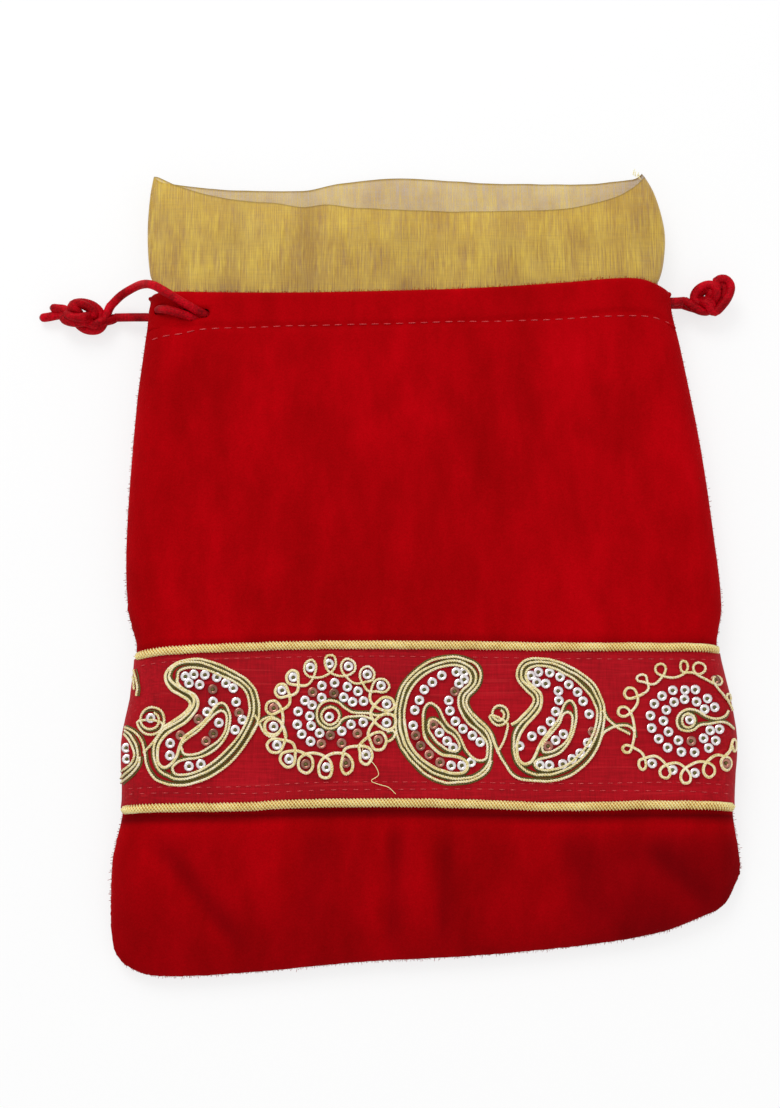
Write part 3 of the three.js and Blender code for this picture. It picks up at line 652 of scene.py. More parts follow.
CREASES = [
    ((-74, -84), (-50, -113), 3.2, 1.0),
    ((-9, -80), (-9.5, -112), 2.6, 0.9),
    ((5.5, -82), (4, -111), 2.8, 0.8),
    ((40, -80), (46, -106), 5, 0.45),
    ((62, -84), (80, -100), 4, 0.5),
    ((-30, -82), (-34, -104), 5, 0.5),
    ((-70, -16), (-48, 4), 7, 0.4),
    ((20, 55), (34, 20), 10, 0.4),
    ((50, -22), (58, 6), 7, 0.4),
    ((-40, 62), (-30, 40), 6, 0.35),
]


def wrinkles(x, y, seed):
    """How far the lying velvet rises and falls."""
    made = 0.55 * rough(x, y, 42, seed) + 0.3 * rough(x, y, 17, seed + 1)
    made += 0.12 * rough(x, y, 6, seed + 2)
    if seed == 0:
        made += sum(crease(x, y, *fold) for fold in CREASES)
    calm = 1 - 0.75 * trim_zone(y)
    return made * calm * smooth(0, 9, min(x - left_edge(y), right_edge(y) - x))


def front_skin(x, y, depth=0.0):
    """Height of the front velvet over the plan, depth millimetres below its outside."""
    k = mouth_edge(x) - y
    base = seam_level(y) + GAP / 2 + seam_opening(x, y)
    dip = STITCH_DIP * bump(CASING_DEPTH, 0.9, k)
    level = front_level(y) - dip + wrinkles(x, y, 0) * smooth(0, 8, k + 3)
    return base + (level - depth - base) * roundness(x, y)


def back_skin(x, y, depth=0.0):
    k = mouth_edge(x) - y
    base = seam_level(y) - GAP / 2 - seam_opening(x, y)
    dip = STITCH_DIP * bump(CASING_DEPTH, 0.9, k)
    dents = max(0.0, wrinkles(x, y, 5)) * smooth(0, 8, k + 3)
    level = TRIM_RECESS * trim_zone(y) + dip + dents
    return base + (level + depth - base) * roundness(x, y)


# Velvet panels, each folded over at the mouth and down to the casing's stitches

COLUMNS = 180
FOOT_ROWS = 26
BODY_ROWS = 112
BODY_ENDS = (-88.0, 60.0)
CASING_ROWS = 18
CASING_START = 16.5
FOLD_ROWS = 8
FACING_ROWS = 11
FACING_END = 12.4
FACING_INSET = 1.6  # from the side seams
FRAY = 0.28


def velvet_rows():
    """Each row of a panel: how far up the foot, y in the body, way from the mouth, depth."""
    rows = [(((i / FOOT_ROWS) ** 1.8), None, None, 0.0) for i in range(FOOT_ROWS)]
    rows += [(None, lerp(*BODY_ENDS, i / BODY_ROWS), None, 0.0) for i in range(BODY_ROWS + 1)]
    rows += [
        (None, None, lerp(CASING_START, FOLD, i / CASING_ROWS), 0.0) for i in range(CASING_ROWS)
    ]
    for i in range(FOLD_ROWS + 1):
        a = math.pi * i / FOLD_ROWS
        rows.append((None, None, FOLD * (1 - math.sin(a)), FOLD * (1 - math.cos(a))))
    for i in range(1, FACING_ROWS + 1):
        k = lerp(FOLD, FACING_END, i / FACING_ROWS)
        meet = smooth(CASING_DEPTH - 2.2, CASING_DEPTH, k)
        rows.append((None, None, k, lerp(2 * FOLD, VELVET + 0.3, meet)))
    return rows


ROWS = velvet_rows()
FACING = len(ROWS) - FACING_ROWS  # the first row of the facing


def spread_columns(i, count, crowd=0.62):
    """The place of a column from 0 to 1, with more of them near the two sides."""
    s = i / count
    return s - crowd * math.sin(2 * math.pi * s) / (2 * math.pi)


def on_panel(i, j, skin):
    """A point of a velvet panel from its column and row."""
    s = spread_columns(i, COLUMNS)
    share, y_at, k, depth = ROWS[j]
    x, y = 0.0, -90.0
    for _ in range(4):
        x = lerp(left_edge(y), right_edge(y), s)
        if share is not None:
            y = lerp(bottom_edge(x), BODY_ENDS[0], share)
        elif y_at is not None:
            y = y_at
        else:
            y = mouth_edge(x) - k
    inset = FACING_INSET * smooth(FACING - 4, FACING + 2, j)
    x = lerp(left_edge(y) + inset, right_edge(y) - inset, s)
    return x, y, skin(x, y, depth)


def fray_edge(bm, amount):
    """Makes the outline of a panel uneven, as pile stands out past its seam."""
    for vert in bm.verts:
        if vert.is_boundary:
            wave = noise.noise(vert.co * 2300) + 0.6 * noise.noise(vert.co * 5200)
            push = Vector((math.copysign(1, vert.co.x), -0.6, 0)) * wave * amount * MM
            vert.co += push


# Middle, half length and half height of the slits that the cords go in by
BUTTONHOLES = [(-68.2, 70.6, 4.6, 1.4), (-78.9, 72.6, 2.0, 1.3)]
RIM_WIDTH = 1.6
RIM_DIP = 0.25


def cut_buttonhole(bm, cx, cy, half, tall):
    """Opens a slit with round ends in the velvet, and brings its rim onto the outline."""

    def off(spot):
        x = max(0.0, abs(spot.x / MM - cx) - (half - tall))
        return math.hypot(x, spot.y / MM - cy)

    outer = {v for v in bm.verts
             if v.co.z / MM > front_skin(v.co.x / MM, v.co.y / MM) - FOLD * 0.8}
    inside = {v for v in outer if off(v.co) < tall}
    gone = [f for f in bm.faces if any(v in inside for v in f.verts)]
    bmesh.ops.delete(bm, geom=gone, context="FACES")
    for vert in bm.verts:
        if vert.is_boundary and vert in outer and off(vert.co) < tall + RIM_WIDTH:
            x, y = vert.co.x / MM, vert.co.y / MM
            axis = cx + min(half - tall, max(tall - half, x - cx))
            away = Vector((x - axis, y - cy))
            spot = Vector((axis, cy)) + away.normalized() * tall
            vert.co = Vector((*spot, front_skin(*spot) - RIM_DIP)) * MM


# The way of the two braids across the bag, and of the casing's stitches
upper_line = through([
    (-83, -31), (-75.4, -30.2), (-64, -29.5), (-50, -28.9), (-27, -28.4), (-4, -28.4),
    (21, -28.7), (49, -29), (66, -29), (83.5, -29.2),
])
lower_line = through([
    (-85, -74.4), (-71, -74), (-57, -73.8), (-49, -73.6), (-35, -72.9), (-11.6, -72.6),
    (9.3, -72.9), (31.5, -73.6), (48, -73.6), (65, -73.2), (86.5, -73.6),
])
casing_line = through([
    (-80, 63.4), (-72, 64), (-66.5, 65.2), (-51.7, 66.4), (-28, 67.1), (-4, 67.8), (22, 68.2),
    (40, 68.8), (52, 69.4), (67, 69.6), (74, 68.6),
])


def painted_shade_at(x, y):
    """Painted shade, from 0 for none up: under the braids, in the creases, at the foot and lower
    right.
    """
    under_braid = 0.8 * bump(-2.6, 1.5, y - lower_line(x))
    under_braid += 0.35 * bump(2.2, 1.2, y - upper_line(x))
    foot = 0.19 * smooth(-74, -84, y) + 0.1 * smooth(-92, -112, y)
    corner = 0.42 * smooth(20, 70, x) * smooth(-74, -88, y)
    folds = sum(crease(x, y, *fold) for fold in CREASES)
    return under_braid + foot + corner - 0.3 * min(0.25, folds) - 0.06 * rough(x, y, 20, 40) - 0.08


def paint(bm, name, value):
    """Stores a value from 0 to 1 at each vertex, from its place on the plan."""
    layer = bm.verts.layers.float.new(name)
    for vert in bm.verts:
        vert[layer] = clamp(value(vert.co.x / MM, vert.co.y / MM))


PANEL_CUT = (176, 214)  # millimetres, with the casing's turned-in facing

front = cloth(COLUMNS, len(ROWS) - 1, lambda i, j: on_panel(i, j, front_skin), PANEL_CUT)
fray_edge(front, FRAY)
# Painted shade on the front velvet: shadow under the braids, shade in creases and towards the foot.
paint(front, "nap", painted_shade_at)
for hole in BUTTONHOLES:
    cut_buttonhole(front, *hole)
velvet_front = piece(as_object("velvet_front", front), velvet, "velvet", "front_panel")
back = cloth(COLUMNS, len(ROWS) - 1, lambda i, j: on_panel(i, j, back_skin), PANEL_CUT, False)
# The same painted shade on the back velvet.
paint(back, "nap", painted_shade_at)
fray_edge(back, FRAY)
velvet_back = piece(as_object("velvet_back", back), velvet, "velvet", "back_panel")
for panel in (velvet_front, velvet_back):
    thicken(panel, VELVET - 0.1)

# Organza collar: a flattened tube that stands out of the mouth

COLLAR_CUT = (310, 53)  # millimetres, as one strip
SEAM_MERGE = 0.02
COLLAR_LOW = 5.1
COLLAR_HIGH = 10.9
COLLAR_LOW_AT_TOP = 3.4
COLLAR_HIGH_AT_TOP = 10.7
COLLAR_HALF = 76
COLLAR_FOLD = 3
COLLAR_AROUND = 320
COLLAR_UP = 60
collar_left = through([
    (66, -76.6), (77.5, -76.8), (82.5, -81.4), (86, -83), (99, -84.3), (112, -84), (120, -82.8),
])
collar_right = through([
    (66, 67), (78, 67.2), (84, 71.4), (92, 73.4), (101, 73.8), (112, 71.4), (120, 67.4),
])
collar_back_top = through([
    (-84, 118.8), (-75, 117.6), (-62, 116), (-38, 115.6), (-25, 118), (-7, 119.6), (24, 118),
    (52, 118), (69, 119.7),
])
collar_front_top = through([
    (-84, 118), (-75, 113.6), (-63, 110.2), (-44, 107.8), (-37, 106.6), (-30, 107.6), (-20, 106.4),
    (5, 105.6), (24, 105.4), (42, 106.2), (55, 109), (62, 112), (69, 118.6),
])


def collar_point(i, j):
    """A point of the collar: once round it from the left fold, over the back layer first."""
    turn = i / COLLAR_AROUND * 2
    upper = turn > 1
    spread = spread_columns(2 - turn if upper else turn, 1, 0.5)
    share = j / COLLAR_UP
    top = collar_front_top if upper else collar_back_top
    x, y = (spread * 2 - 1) * COLLAR_HALF, 0.0
    for _ in range(4):
        y = lerp(mouth_edge(x) - CASING_DEPTH, top(x), share)
        x = lerp(collar_left(y), collar_right(y), spread)
    lift = smooth(80, 116, y)
    low = lerp(COLLAR_LOW, COLLAR_LOW_AT_TOP, lift)
    high = lerp(COLLAR_HIGH, COLLAR_HIGH_AT_TOP, lift)
    side = 1 if upper else -1
    swell = quarter((1 - abs(spread * 2 - 1)) * COLLAR_HALF / COLLAR_FOLD)
    free = smooth(0, 14, y - mouth_edge(x)) * swell
    ripple = 0.9 * rough(x, y * 0.3, 16, 3 + side) + 0.35 * rough(x, y * 0.5, 6, 6 + side)
    z = (low + high) / 2 + side * swell * (high - low) / 2 + free * ripple
    return x, y, z


def organza_shade(x, y):
    """Where the collar's soft folds make it darker."""
    folds = 0.4 * bump(-57 + (y - 95) * 0.15, 4.5, x) + 0.5 * bump(-35, 3.6, x)
    folds += 0.25 * bump(-6, 6, x) + 0.2 * bump(28, 8, x) + 0.3 * bump(66, 4, x)
    return folds * (0.7 + 0.5 * rough(x, y, 12, 50)) + 0.22 * rough(x, y, 9, 51)


collar = cloth(COLLAR_AROUND, COLLAR_UP, collar_point, COLLAR_CUT, False)
hem = collar.verts.layers.float.new("hem")
for vert in collar.verts:
    if vert.is_boundary and vert.co.y > 0.1:
        vert[hem] = 1.0
paint(collar, "shade", organza_shade)
bmesh.ops.remove_doubles(collar, verts=collar.verts, dist=SEAM_MERGE * MM)
organza_tube = piece(as_object("organza_tube", collar), organza, "organza", "organza_collar")

# Silk ribbons round the lower half

RIBBON = 0.5
RIBBON_PLAN = (175, 44)  # its size in plan, for the cloth's own coordinates
RIBBON_TOP = -28.4
RIBBON_ACROSS = 200
RIBBON_ROWS = 40


def raised(skin, side, x, y, height):
    """A point raised off the front (side 1) or back (side -1) velvet, square to it."""
    step = 0.4
    left = max(x - step, left_edge(y) + 0.01)
    right = min(x + step, right_edge(y) - 0.01)
    slope_x = (skin(right, y) - skin(left, y)) / (right - left)
    slope_y = (skin(x, y + step) - skin(x, y - step)) / (2 * step)
    normal = Vector((-slope_x * side, -slope_y * side, 1)).normalized()
    return Vector((x + normal.x * height, y + normal.y * height,
                   skin(x, y) + side * normal.z * height))


SKINS = {"front": (front_skin, 1), "back": (back_skin, -1)}


def ribbon_point(i, j, skin, side):
    y = RIBBON_TOP
    for _ in range(3):
        x = lerp(left_edge(y), right_edge(y), spread_columns(i, RIBBON_ACROSS))
        y = lerp(lower_line(x * side) + 0.6, upper_line(x * side) - 0.6, j / RIBBON_ROWS)
    pucker = 0.12 * rough(x * 1.6, y, 7, 9) + 0.06 * rough(x, y * 1.3, 2.5, 12)
    spot = raised(skin, side, x, y, GAP + RIBBON + pucker)
    return spot.x, y, spot.z


for where, (skin, side) in SKINS.items():
    grid = cloth(
        RIBBON_ACROSS, RIBBON_ROWS, lambda i, j: ribbon_point(i, j, skin, side), RIBBON_PLAN,
        side > 0,
    )
    ribbon = piece(as_object(f"silk_ribbon_{where}", grid), silk, "silk", f"{where}_ribbon")
    thicken(ribbon, RIBBON)


def on_trim(where, x, y, up):
    """A point over the plan of the trim, up millimetres above the ribbon's face.

    The design is the same on both sides, so on the back x runs the other way.
    """
    skin, side = SKINS[where]
    x = x if side > 0 else -x
    x = min(right_edge(y) - 0.3, max(left_edge(y) + 0.3, x))
    return raised(skin, side, x, y, GAP + RIBBON + up)


# Twisted cords: a ribbed section that turns as it goes along


def ribbed_section(name, radius, ribs, depth, flat=1.0):
    """A closed outline with that many ribs, as a curve to sweep along others."""
    data = bpy.data.curves.new(name, "CURVE")
    data.dimensions = "2D"
    run = data.splines.new("POLY")
    count = ribs * 4
    run.points.add(count - 1)
    run.use_cyclic_u = True
    for i, point in enumerate(run.points):
        a = 2 * math.pi * i / count
        r = (radius + depth * math.cos(ribs * a)) * MM
        point.co = (r * math.cos(a) * flat, r * math.sin(a), 0, 1)
    made = bpy.data.objects.new(name, data)
    scene.collection.objects.link(made)
    return made


def twisted(name, lines, section, lay, closed=()):
    """A mesh of twisted cords along lists of points. lay is the length of one full turn."""
    data = bpy.data.curves.new(name, "CURVE")
    data.dimensions = "3D"
    data.twist_mode = "MINIMUM"
    data.bevel_mode = "OBJECT"
    data.bevel_object = section
    data.use_fill_caps = True
    for n, line in enumerate(lines):
        run = data.splines.new("POLY")
        run.points.add(len(line) - 1)
        run.use_cyclic_u = n in closed
        far = 0.0
        whole = length_of(line)
        turns = max(1, round(whole / lay)) if n in closed else whole / lay
        for i, (point, spot) in enumerate(zip(run.points, line)):
            far += (spot - line[i - 1]).length if i else 0
            point.co = (*(spot * MM), 1)
            point.tilt = 2 * math.pi * turns * far / whole
    made = bpy.data.objects.new(name + "_run", data)
    scene.collection.objects.link(made)
    drawn = made.evaluated_get(bpy.context.evaluated_depsgraph_get())
    mesh = bpy.data.meshes.new_from_object(drawn)
    mesh.name = name
    mesh.materials.clear()
    around = len(section.data.splines[0].points)
    # How deep in a groove each point lies, which the thread finishes turn into painted highlight
    # and shade.
    groove = mesh.attributes.new("groove", "FLOAT", "POINT")
    for i, mark in enumerate(groove.data):
        mark.value = RIB_MARKS[i % around % 4]
    mesh.shade_smooth()
    bpy.data.objects.remove(made)
    swept = bpy.data.objects.new(name, mesh)
    scene.collection.objects.link(swept)
    return swept


RIB_MARKS = (0.0, 0.5, 1.0, 0.5)  # how deep in a groove, four points to a rib
ZARI = 0.9
ZARI_PITCH = 1.15  # between cords that lie side by side
ZARI_STEP = 0.3
ZARI_LAY = 1.5
BRAID_LAY = 3.8
BRAID_LIFT = 1.15  # of its middle above the velvet
BRAID_INSET = 1.1  # from the seams
BRAID_STEPS = 600
COUCHING = 0.5
zari_section = ribbed_section("zari_section", 0.36, 2, 0.07)
braid_section = ribbed_section("braid_section", 1.05, 4, 0.27)

for where, (skin, side) in SKINS.items():
    for name, y_at in (("upper", upper_line), ("lower", lower_line)):
        line = []
        start = left_edge(y_at(-85 * side)) + BRAID_INSET
        end = right_edge(y_at(85 * side)) - BRAID_INSET
        for i in range(BRAID_STEPS + 1):
            at = lerp(start, end, i / BRAID_STEPS)
            y = y_at(at * side) + 0.12 * rough(at, 0, 9, 20) + 0.08 * rough(at, 0, 3, 21)
            spot = raised(skin, side, at, y, BRAID_LIFT)
            spot.x = at
            line.append(spot)
        if side < 0:
            line.reverse()
        rope = twisted(f"gold_braid_{where}_{name}", [line], braid_section, BRAID_LAY)
        piece(rope, gold, "braid", f"{where}_{name}_braid")

# The embroidery: paisleys, rosettes and curls of couched gold cord

CURLS = {  # middle and radii of a spiral, and the way from it
    "left_curl": ((-77.1, -49.9, 2.2, 3.6), [
        (-74, -50.6), (-74.6, -53.0), (-76.4, -55.9), (-78.9, -58.8),
    ]),
    "right_curl": ((20.5, -48.4, 1.4, 2.6), [
        (22.7, -50.6), (22.4, -53.6), (21.2, -56.6), (19.8, -58.7),
    ]),
}
MOTIFS = {  # the cords of each motif: whether the cord closes on itself, and its points
    "left_paisley": [
        (True, [
            (-72.5, -37.5), (-72.1, -35.7), (-70.6, -34.1), (-67.7, -33.3), (-64.4, -33.4),
            (-61.1, -34.4), (-57.9, -35.7), (-54.6, -37.4), (-51.8, -39), (-49.7, -41.1),
            (-48.6, -44), (-48.4, -46.6), (-49, -49.5), (-50.4, -52.7), (-52.3, -55.9),
            (-54.6, -58.8), (-57.3, -61.4), (-60.4, -63.6), (-63.6, -65), (-66.8, -66),
            (-70, -66), (-71.9, -65.3), (-74.2, -63.9), (-75.5, -62), (-76.2, -59.4),
            (-76.2, -57.2), (-75.4, -55), (-73.9, -52.7), (-71.7, -51.3), (-69.1, -49.8),
            (-67.3, -48.2), (-66, -46.6), (-65.3, -44.8), (-65.6, -43.4), (-66.8, -42.2),
            (-68.8, -41.1), (-70.7, -39.8), (-72.1, -38.5),
        ]),
        (False, [
            (-84.5, -51.4), (-81.6, -52.9), (-79.8, -54.8), (-78.8, -57.8), (-78.1, -61.4),
            (-77.2, -63.9), (-75.2, -66.3), (-72.1, -67.5), (-68.6, -67.9), (-65.1, -67.3),
            (-61.6, -66.1), (-58.2, -64.2), (-54.7, -61.5), (-51.9, -58.3), (-49.4, -54.6),
            (-47.8, -51.8), (-47.1, -49.2), (-47, -46.6), (-47.4, -43.4), (-48.5, -40.8),
            (-50.8, -38.3), (-53.6, -36.5), (-56.6, -34.9), (-59.5, -33.7), (-62.2, -32.9),
            (-64.8, -32.4), (-67.7, -32.7), (-70.3, -33.5), (-72.5, -35.1), (-73.6, -37.2),
            (-73.3, -39.1), (-71.7, -41.2), (-69.4, -42.7), (-67.4, -43.8), (-66.4, -45),
            (-66.7, -46.3), (-68.2, -48), (-70.4, -49.6), (-72.7, -51.1), (-73.9, -51.7),
        ]),
        (True, [
            (-70.1, -37.8), (-69.9, -36.1), (-68, -35.1), (-65, -34.9), (-61.8, -35.6),
            (-58.5, -37), (-55.5, -38.3), (-52.9, -39.8), (-50.9, -41.6), (-49.9, -44),
            (-49.6, -46.6), (-50.1, -49.2), (-51.5, -52.4), (-53.2, -55.1), (-55.6, -57.8),
            (-58.3, -60.4), (-60.8, -62.3), (-63.6, -63.9), (-68.1, -65), (-70.3, -64.5),
            (-70.8, -62.9), (-69.1, -61.2), (-66.9, -60.6), (-63.7, -60.2), (-60.9, -59.1),
            (-58, -56.9), (-56, -54), (-55.2, -51.1), (-55.2, -48.2), (-56.2, -45.8),
            (-57.8, -45), (-59.6, -46.3), (-60.8, -48.2), (-62.7, -50.5), (-65.5, -52.7),
            (-67.9, -54.6), (-69.1, -57.2), (-69.8, -59.8), (-71.4, -62), (-73.2, -62.9),
            (-74.6, -62), (-75.1, -59.4), (-75, -57.2), (-74.2, -55.3), (-72.6, -53.5),
            (-70.2, -52), (-67.7, -50.5), (-65.7, -48.4), (-64.4, -46.3), (-64.2, -44.3),
            (-65.3, -42.6), (-67.6, -41.6), (-69.4, -40.1), (-70.2, -38.8),
        ]),
        (True, [
            (-68.4, -57.8), (-68.7, -56.7), (-67.1, -55), (-63.9, -52.7), (-61.1, -49.8),
            (-59.2, -47.9), (-57.6, -47.1), (-56.4, -47.9), (-56, -49.8), (-56.4, -52.7),
            (-58, -55.3), (-60.6, -57.2), (-63.7, -59), (-66.3, -59.4), (-67.9, -59),
        ]),
    ],
    "middle_paisley": [
        (True, [
            (-7.4, -49.5), (-7.4, -46.6), (-6.7, -43.4), (-5.6, -40.4), (-3.5, -37.8),
            (-0.9, -35.7), (2.1, -34.3), (5.3, -33.3), (8.6, -33), (11.2, -33.8), (13.1, -35.2),
            (14.2, -37.2), (13.7, -39.5), (12.4, -41.1), (10.7, -43), (10.5, -45.3),
            (11.6, -47.6), (13.8, -50.2), (16.1, -52.5), (17.5, -54.6), (18.1, -57.2),
            (17.9, -59.8), (17.2, -62), (15.3, -64.2), (12.7, -65.6), (9.9, -66), (6.7, -65.9),
            (3.8, -65.1), (0.9, -63.8), (-1.6, -61.9), (-3.9, -59.7), (-5.8, -56.8),
            (-6.9, -53.7), (-7.4, -51.4),
        ]),
        (False, [
            (18.1, -61), (17.3, -63.3), (15.3, -65.2), (12.4, -66.5), (8.9, -67), (5.4, -67.1),
            (2.5, -66.2), (-0.4, -64.6), (-3.2, -62.1), (-5.5, -59.5), (-7.4, -56.3),
            (-8.3, -53), (-8.7, -49.8), (-8.5, -46.6), (-7.9, -43.4), (-6.7, -40.3),
            (-4.6, -37.5), (-1.8, -35), (1.4, -33), (5, -32.1), (8.6, -31.9), (11.8, -32.7),
            (14.4, -34.3), (15.4, -36.5), (15.1, -39.1), (13.7, -41.2), (11.9, -43),
            (11.4, -45), (12.4, -47.2), (14.4, -49.4), (16.8, -51.7), (18.4, -54),
            (19.4, -56.9), (20.3, -59.1),
        ]),
        (True, [
            (-6.2, -49.5), (-6, -46.6), (-5.3, -43.4), (-3.8, -40.4), (-1.9, -38.2),
            (0.8, -36.2), (3.4, -35), (6.6, -34.3), (9.5, -34.5), (11.6, -35.6), (12.7, -37.5),
            (12.2, -39.6), (10.4, -41.2), (9.3, -43), (9.1, -45.3), (10, -48.2), (11.8, -50.5),
            (14, -52.5), (15.9, -54.4), (17, -56.2), (17.1, -58.2), (16.7, -60.4), (15, -61),
            (12.8, -60.1), (11.2, -58.2), (10, -55.6), (8.4, -53), (6.1, -51.1), (4.9, -49.5),
            (3.9, -47.3), (2.6, -45.6), (1, -45), (-0.4, -46.3), (-0.9, -49.2), (-0.8, -52.4),
            (0, -55.3), (1.9, -57.5), (4.5, -59.4), (7, -59.8), (9.6, -60.4), (11.2, -61.4),
            (11.5, -62.9), (10.5, -64.2), (7.6, -64.5), (4.4, -63.8), (1.3, -62.5),
            (-1.3, -60.6), (-3.5, -58.2), (-5.1, -55.1), (-5.8, -52.1),
        ]),
        (True, [
            (0.7, -51.1), (1, -49.8), (2.3, -49.5), (3.9, -50.5), (5.5, -52.7), (7.7, -54),
            (9, -55.9), (9.3, -57.5), (8.3, -58.5), (6.4, -58.2), (3.9, -56.6), (1.9, -54.6),
            (0.8, -52.7),
        ]),
    ],
    "right_paisley": [
        (True, [
            (26.9, -37.5), (27.3, -35.2), (28.8, -33.8), (31.1, -33.3), (34, -33.4),
            (36.6, -33.9), (39.1, -35.1), (41.7, -36.5), (44.2, -38.2), (46.5, -40.4),
            (48, -43), (48.9, -45.3), (49.1, -47.9), (48.6, -51.1), (47.5, -54.3), (46, -57.2),
            (43.7, -60.1), (41, -62.3), (38.4, -63.7), (35.2, -64.7), (32.3, -65),
            (29.8, -64.7), (27.2, -63.4), (25.4, -61.4), (24.6, -58.8), (24.5, -56.2),
            (24.8, -53.7), (26.2, -51.1), (28.5, -48.9), (30.5, -46.6), (31.5, -44.7),
            (31.3, -42.7), (30.1, -41.2), (28.3, -39.6), (27.1, -38.3),
        ]),
        (False, [
            (20.3, -59.1), (22.1, -62.3), (24, -64.8), (26.2, -66.1), (29.4, -66.5),
            (33.3, -66.7), (36.8, -66.3), (40, -65.2), (42.9, -63.3), (45.6, -60.8),
            (47.6, -57.9), (48.9, -55), (49.6, -51.8), (50.1, -48.2), (50, -45.6), (49, -42.7),
            (47.5, -39.7), (45, -37.3), (41.7, -35.3), (38.5, -33.7), (35.6, -32.7),
            (32.7, -32.4), (29.8, -32.4), (27.5, -33.3), (26.1, -35.2), (25.8, -37.8),
            (26.6, -39.5), (28.4, -41.5), (30.1, -43.1), (30.4, -44.4), (29.1, -46.6),
            (26.9, -48.8), (25.6, -50.1), (23.9, -51),
        ]),
        (True, [
            (28.2, -37.2), (28.7, -35.6), (30.7, -34.6), (33.6, -34.5), (36.5, -35.3),
            (39.1, -36.6), (41.7, -38.2), (44.2, -40.3), (46.1, -42.6), (47.3, -44.8),
            (48, -47.1), (47.9, -49.8), (47, -53), (45.6, -55.8), (43.5, -58.6), (41, -61),
            (38.5, -62.6), (35.2, -63.5), (32.7, -63.6), (30.8, -63), (30.2, -61.7),
            (31.5, -60.7), (34, -60.1), (36.9, -59.1), (39.2, -56.9), (40.9, -54),
            (41.8, -51.1), (42.2, -47.9), (41.9, -45.6), (40.7, -44.3), (39.2, -45),
            (38.4, -46.6), (37.2, -49.5), (35.2, -52.1), (33.2, -54.6), (31.5, -57.2),
            (30.5, -59.4), (29.2, -61.4), (27.3, -62), (25.9, -60.7), (25.4, -58.5),
            (25.5, -55.9), (26.3, -53.7), (28, -51.2), (30.2, -48.9), (32, -46.6),
            (32.5, -44.3), (32.1, -42.2), (30.4, -40.5), (28.8, -38.8),
        ]),
        (True, [
            (32.5, -56.9), (33.5, -55.3), (35.5, -53), (37.5, -50.5), (38.5, -48.2),
            (39.8, -47.6), (40.9, -48.5), (41, -51.1), (40.3, -53.7), (39, -55.9), (37, -57.5),
            (34.7, -58.6), (32.8, -58.5),
        ]),
    ],
    "edge_paisley": [
        (False, [
            (-84.5, -52.2), (-82.5, -54.1), (-81, -56.6), (-80.4, -59.1), (-80.8, -61.4),
            (-82.2, -63), (-84, -64.4), (-85.3, -65.5),
        ]),
        (False, [
            (-84.6, -53.3), (-83.1, -55), (-81.8, -57.2), (-81.4, -59.4), (-82, -61.3),
            (-83.4, -62.6), (-85.1, -63.6),
        ]),
        (False, [
            (-79.8, -59.8), (-80, -61.7), (-81.2, -63.6), (-83, -65.3), (-85, -66.7),
        ]),
        (False, [
            (-82.6, -34.9), (-81.8, -37.8), (-81.3, -40.4), (-81.5, -42.7),
        ]),
        (False, [
            (-82.8, -36.9), (-82.4, -38.8), (-82.2, -40.8),
        ]),
    ],
    "left_rosette": [
        (False, [
            (-15.3, -49.5), (-17.3, -48.7), (-19.5, -48.7), (-22.1, -48.9), (-23.9, -49.9),
            (-24.7, -51.2), (-26.3, -52.1), (-28.2, -51.9), (-29.8, -50.8), (-30.6, -48.9),
            (-30.5, -46.6), (-28.9, -44.8), (-27, -44.3), (-24.7, -44.8), (-23.1, -46.2),
            (-21.1, -47.4), (-18.9, -47.8), (-16.3, -47.9), (-14, -48.4), (-10.8, -48.2),
            (-8.8, -48.5),
        ]),
        (True, [
            (-26.9, -46.1), (-25.1, -47), (-24.4, -48.6), (-25.2, -50.3), (-26.9, -51.1),
            (-28.7, -50.3), (-29.4, -48.6), (-28.7, -46.9),
        ]),
        (False, [
            (-49.6, -55), (-48, -51.9), (-45.9, -49.7), (-43.7, -48.9), (-41.6, -49.8),
            (-40.1, -52.1), (-39.4, -54.6),
        ]),
        (False, [
            (-48.2, -48.4), (-46.7, -50.8), (-45.7, -53), (-43.9, -54.3), (-41.7, -53.8),
            (-40.6, -52.1),
        ]),
        (False, [
            (-10.8, -55.8), (-9.5, -55), (-8.8, -53.7), (-9.4, -52.8), (-11.1, -53),
        ]),
    ],
    "right_rosette": [
        (False, [
            (85, -46.9), (84, -48.4), (82, -49.2), (79.8, -49.2), (77.9, -48.3), (76.3, -47.2),
            (73.8, -46.7), (71.4, -47.9), (70.4, -49.8), (71, -52.1), (73.2, -52.8),
            (75.1, -52.4), (76.7, -51.2), (79.4, -50.8), (82.3, -50.2), (84.2, -50.5),
            (86.5, -51.8),
        ]),
        (True, [
            (73.7, -48), (75, -48.5), (75.5, -49.8), (74.9, -51.2), (73.5, -51.8),
            (72.2, -51.2), (71.8, -49.8), (72.4, -48.5),
        ]),
        (False, [
            (49.7, -46.9), (50.8, -49.2), (53, -51.3), (55.2, -52.7), (57.1, -53.7),
        ]),
        (False, [
            (48.6, -55.6), (49.7, -53.4), (51.6, -52.1), (54.2, -51.3), (56.5, -51.3),
            (58.1, -52.6), (58.6, -54.6),
        ]),
    ],
}
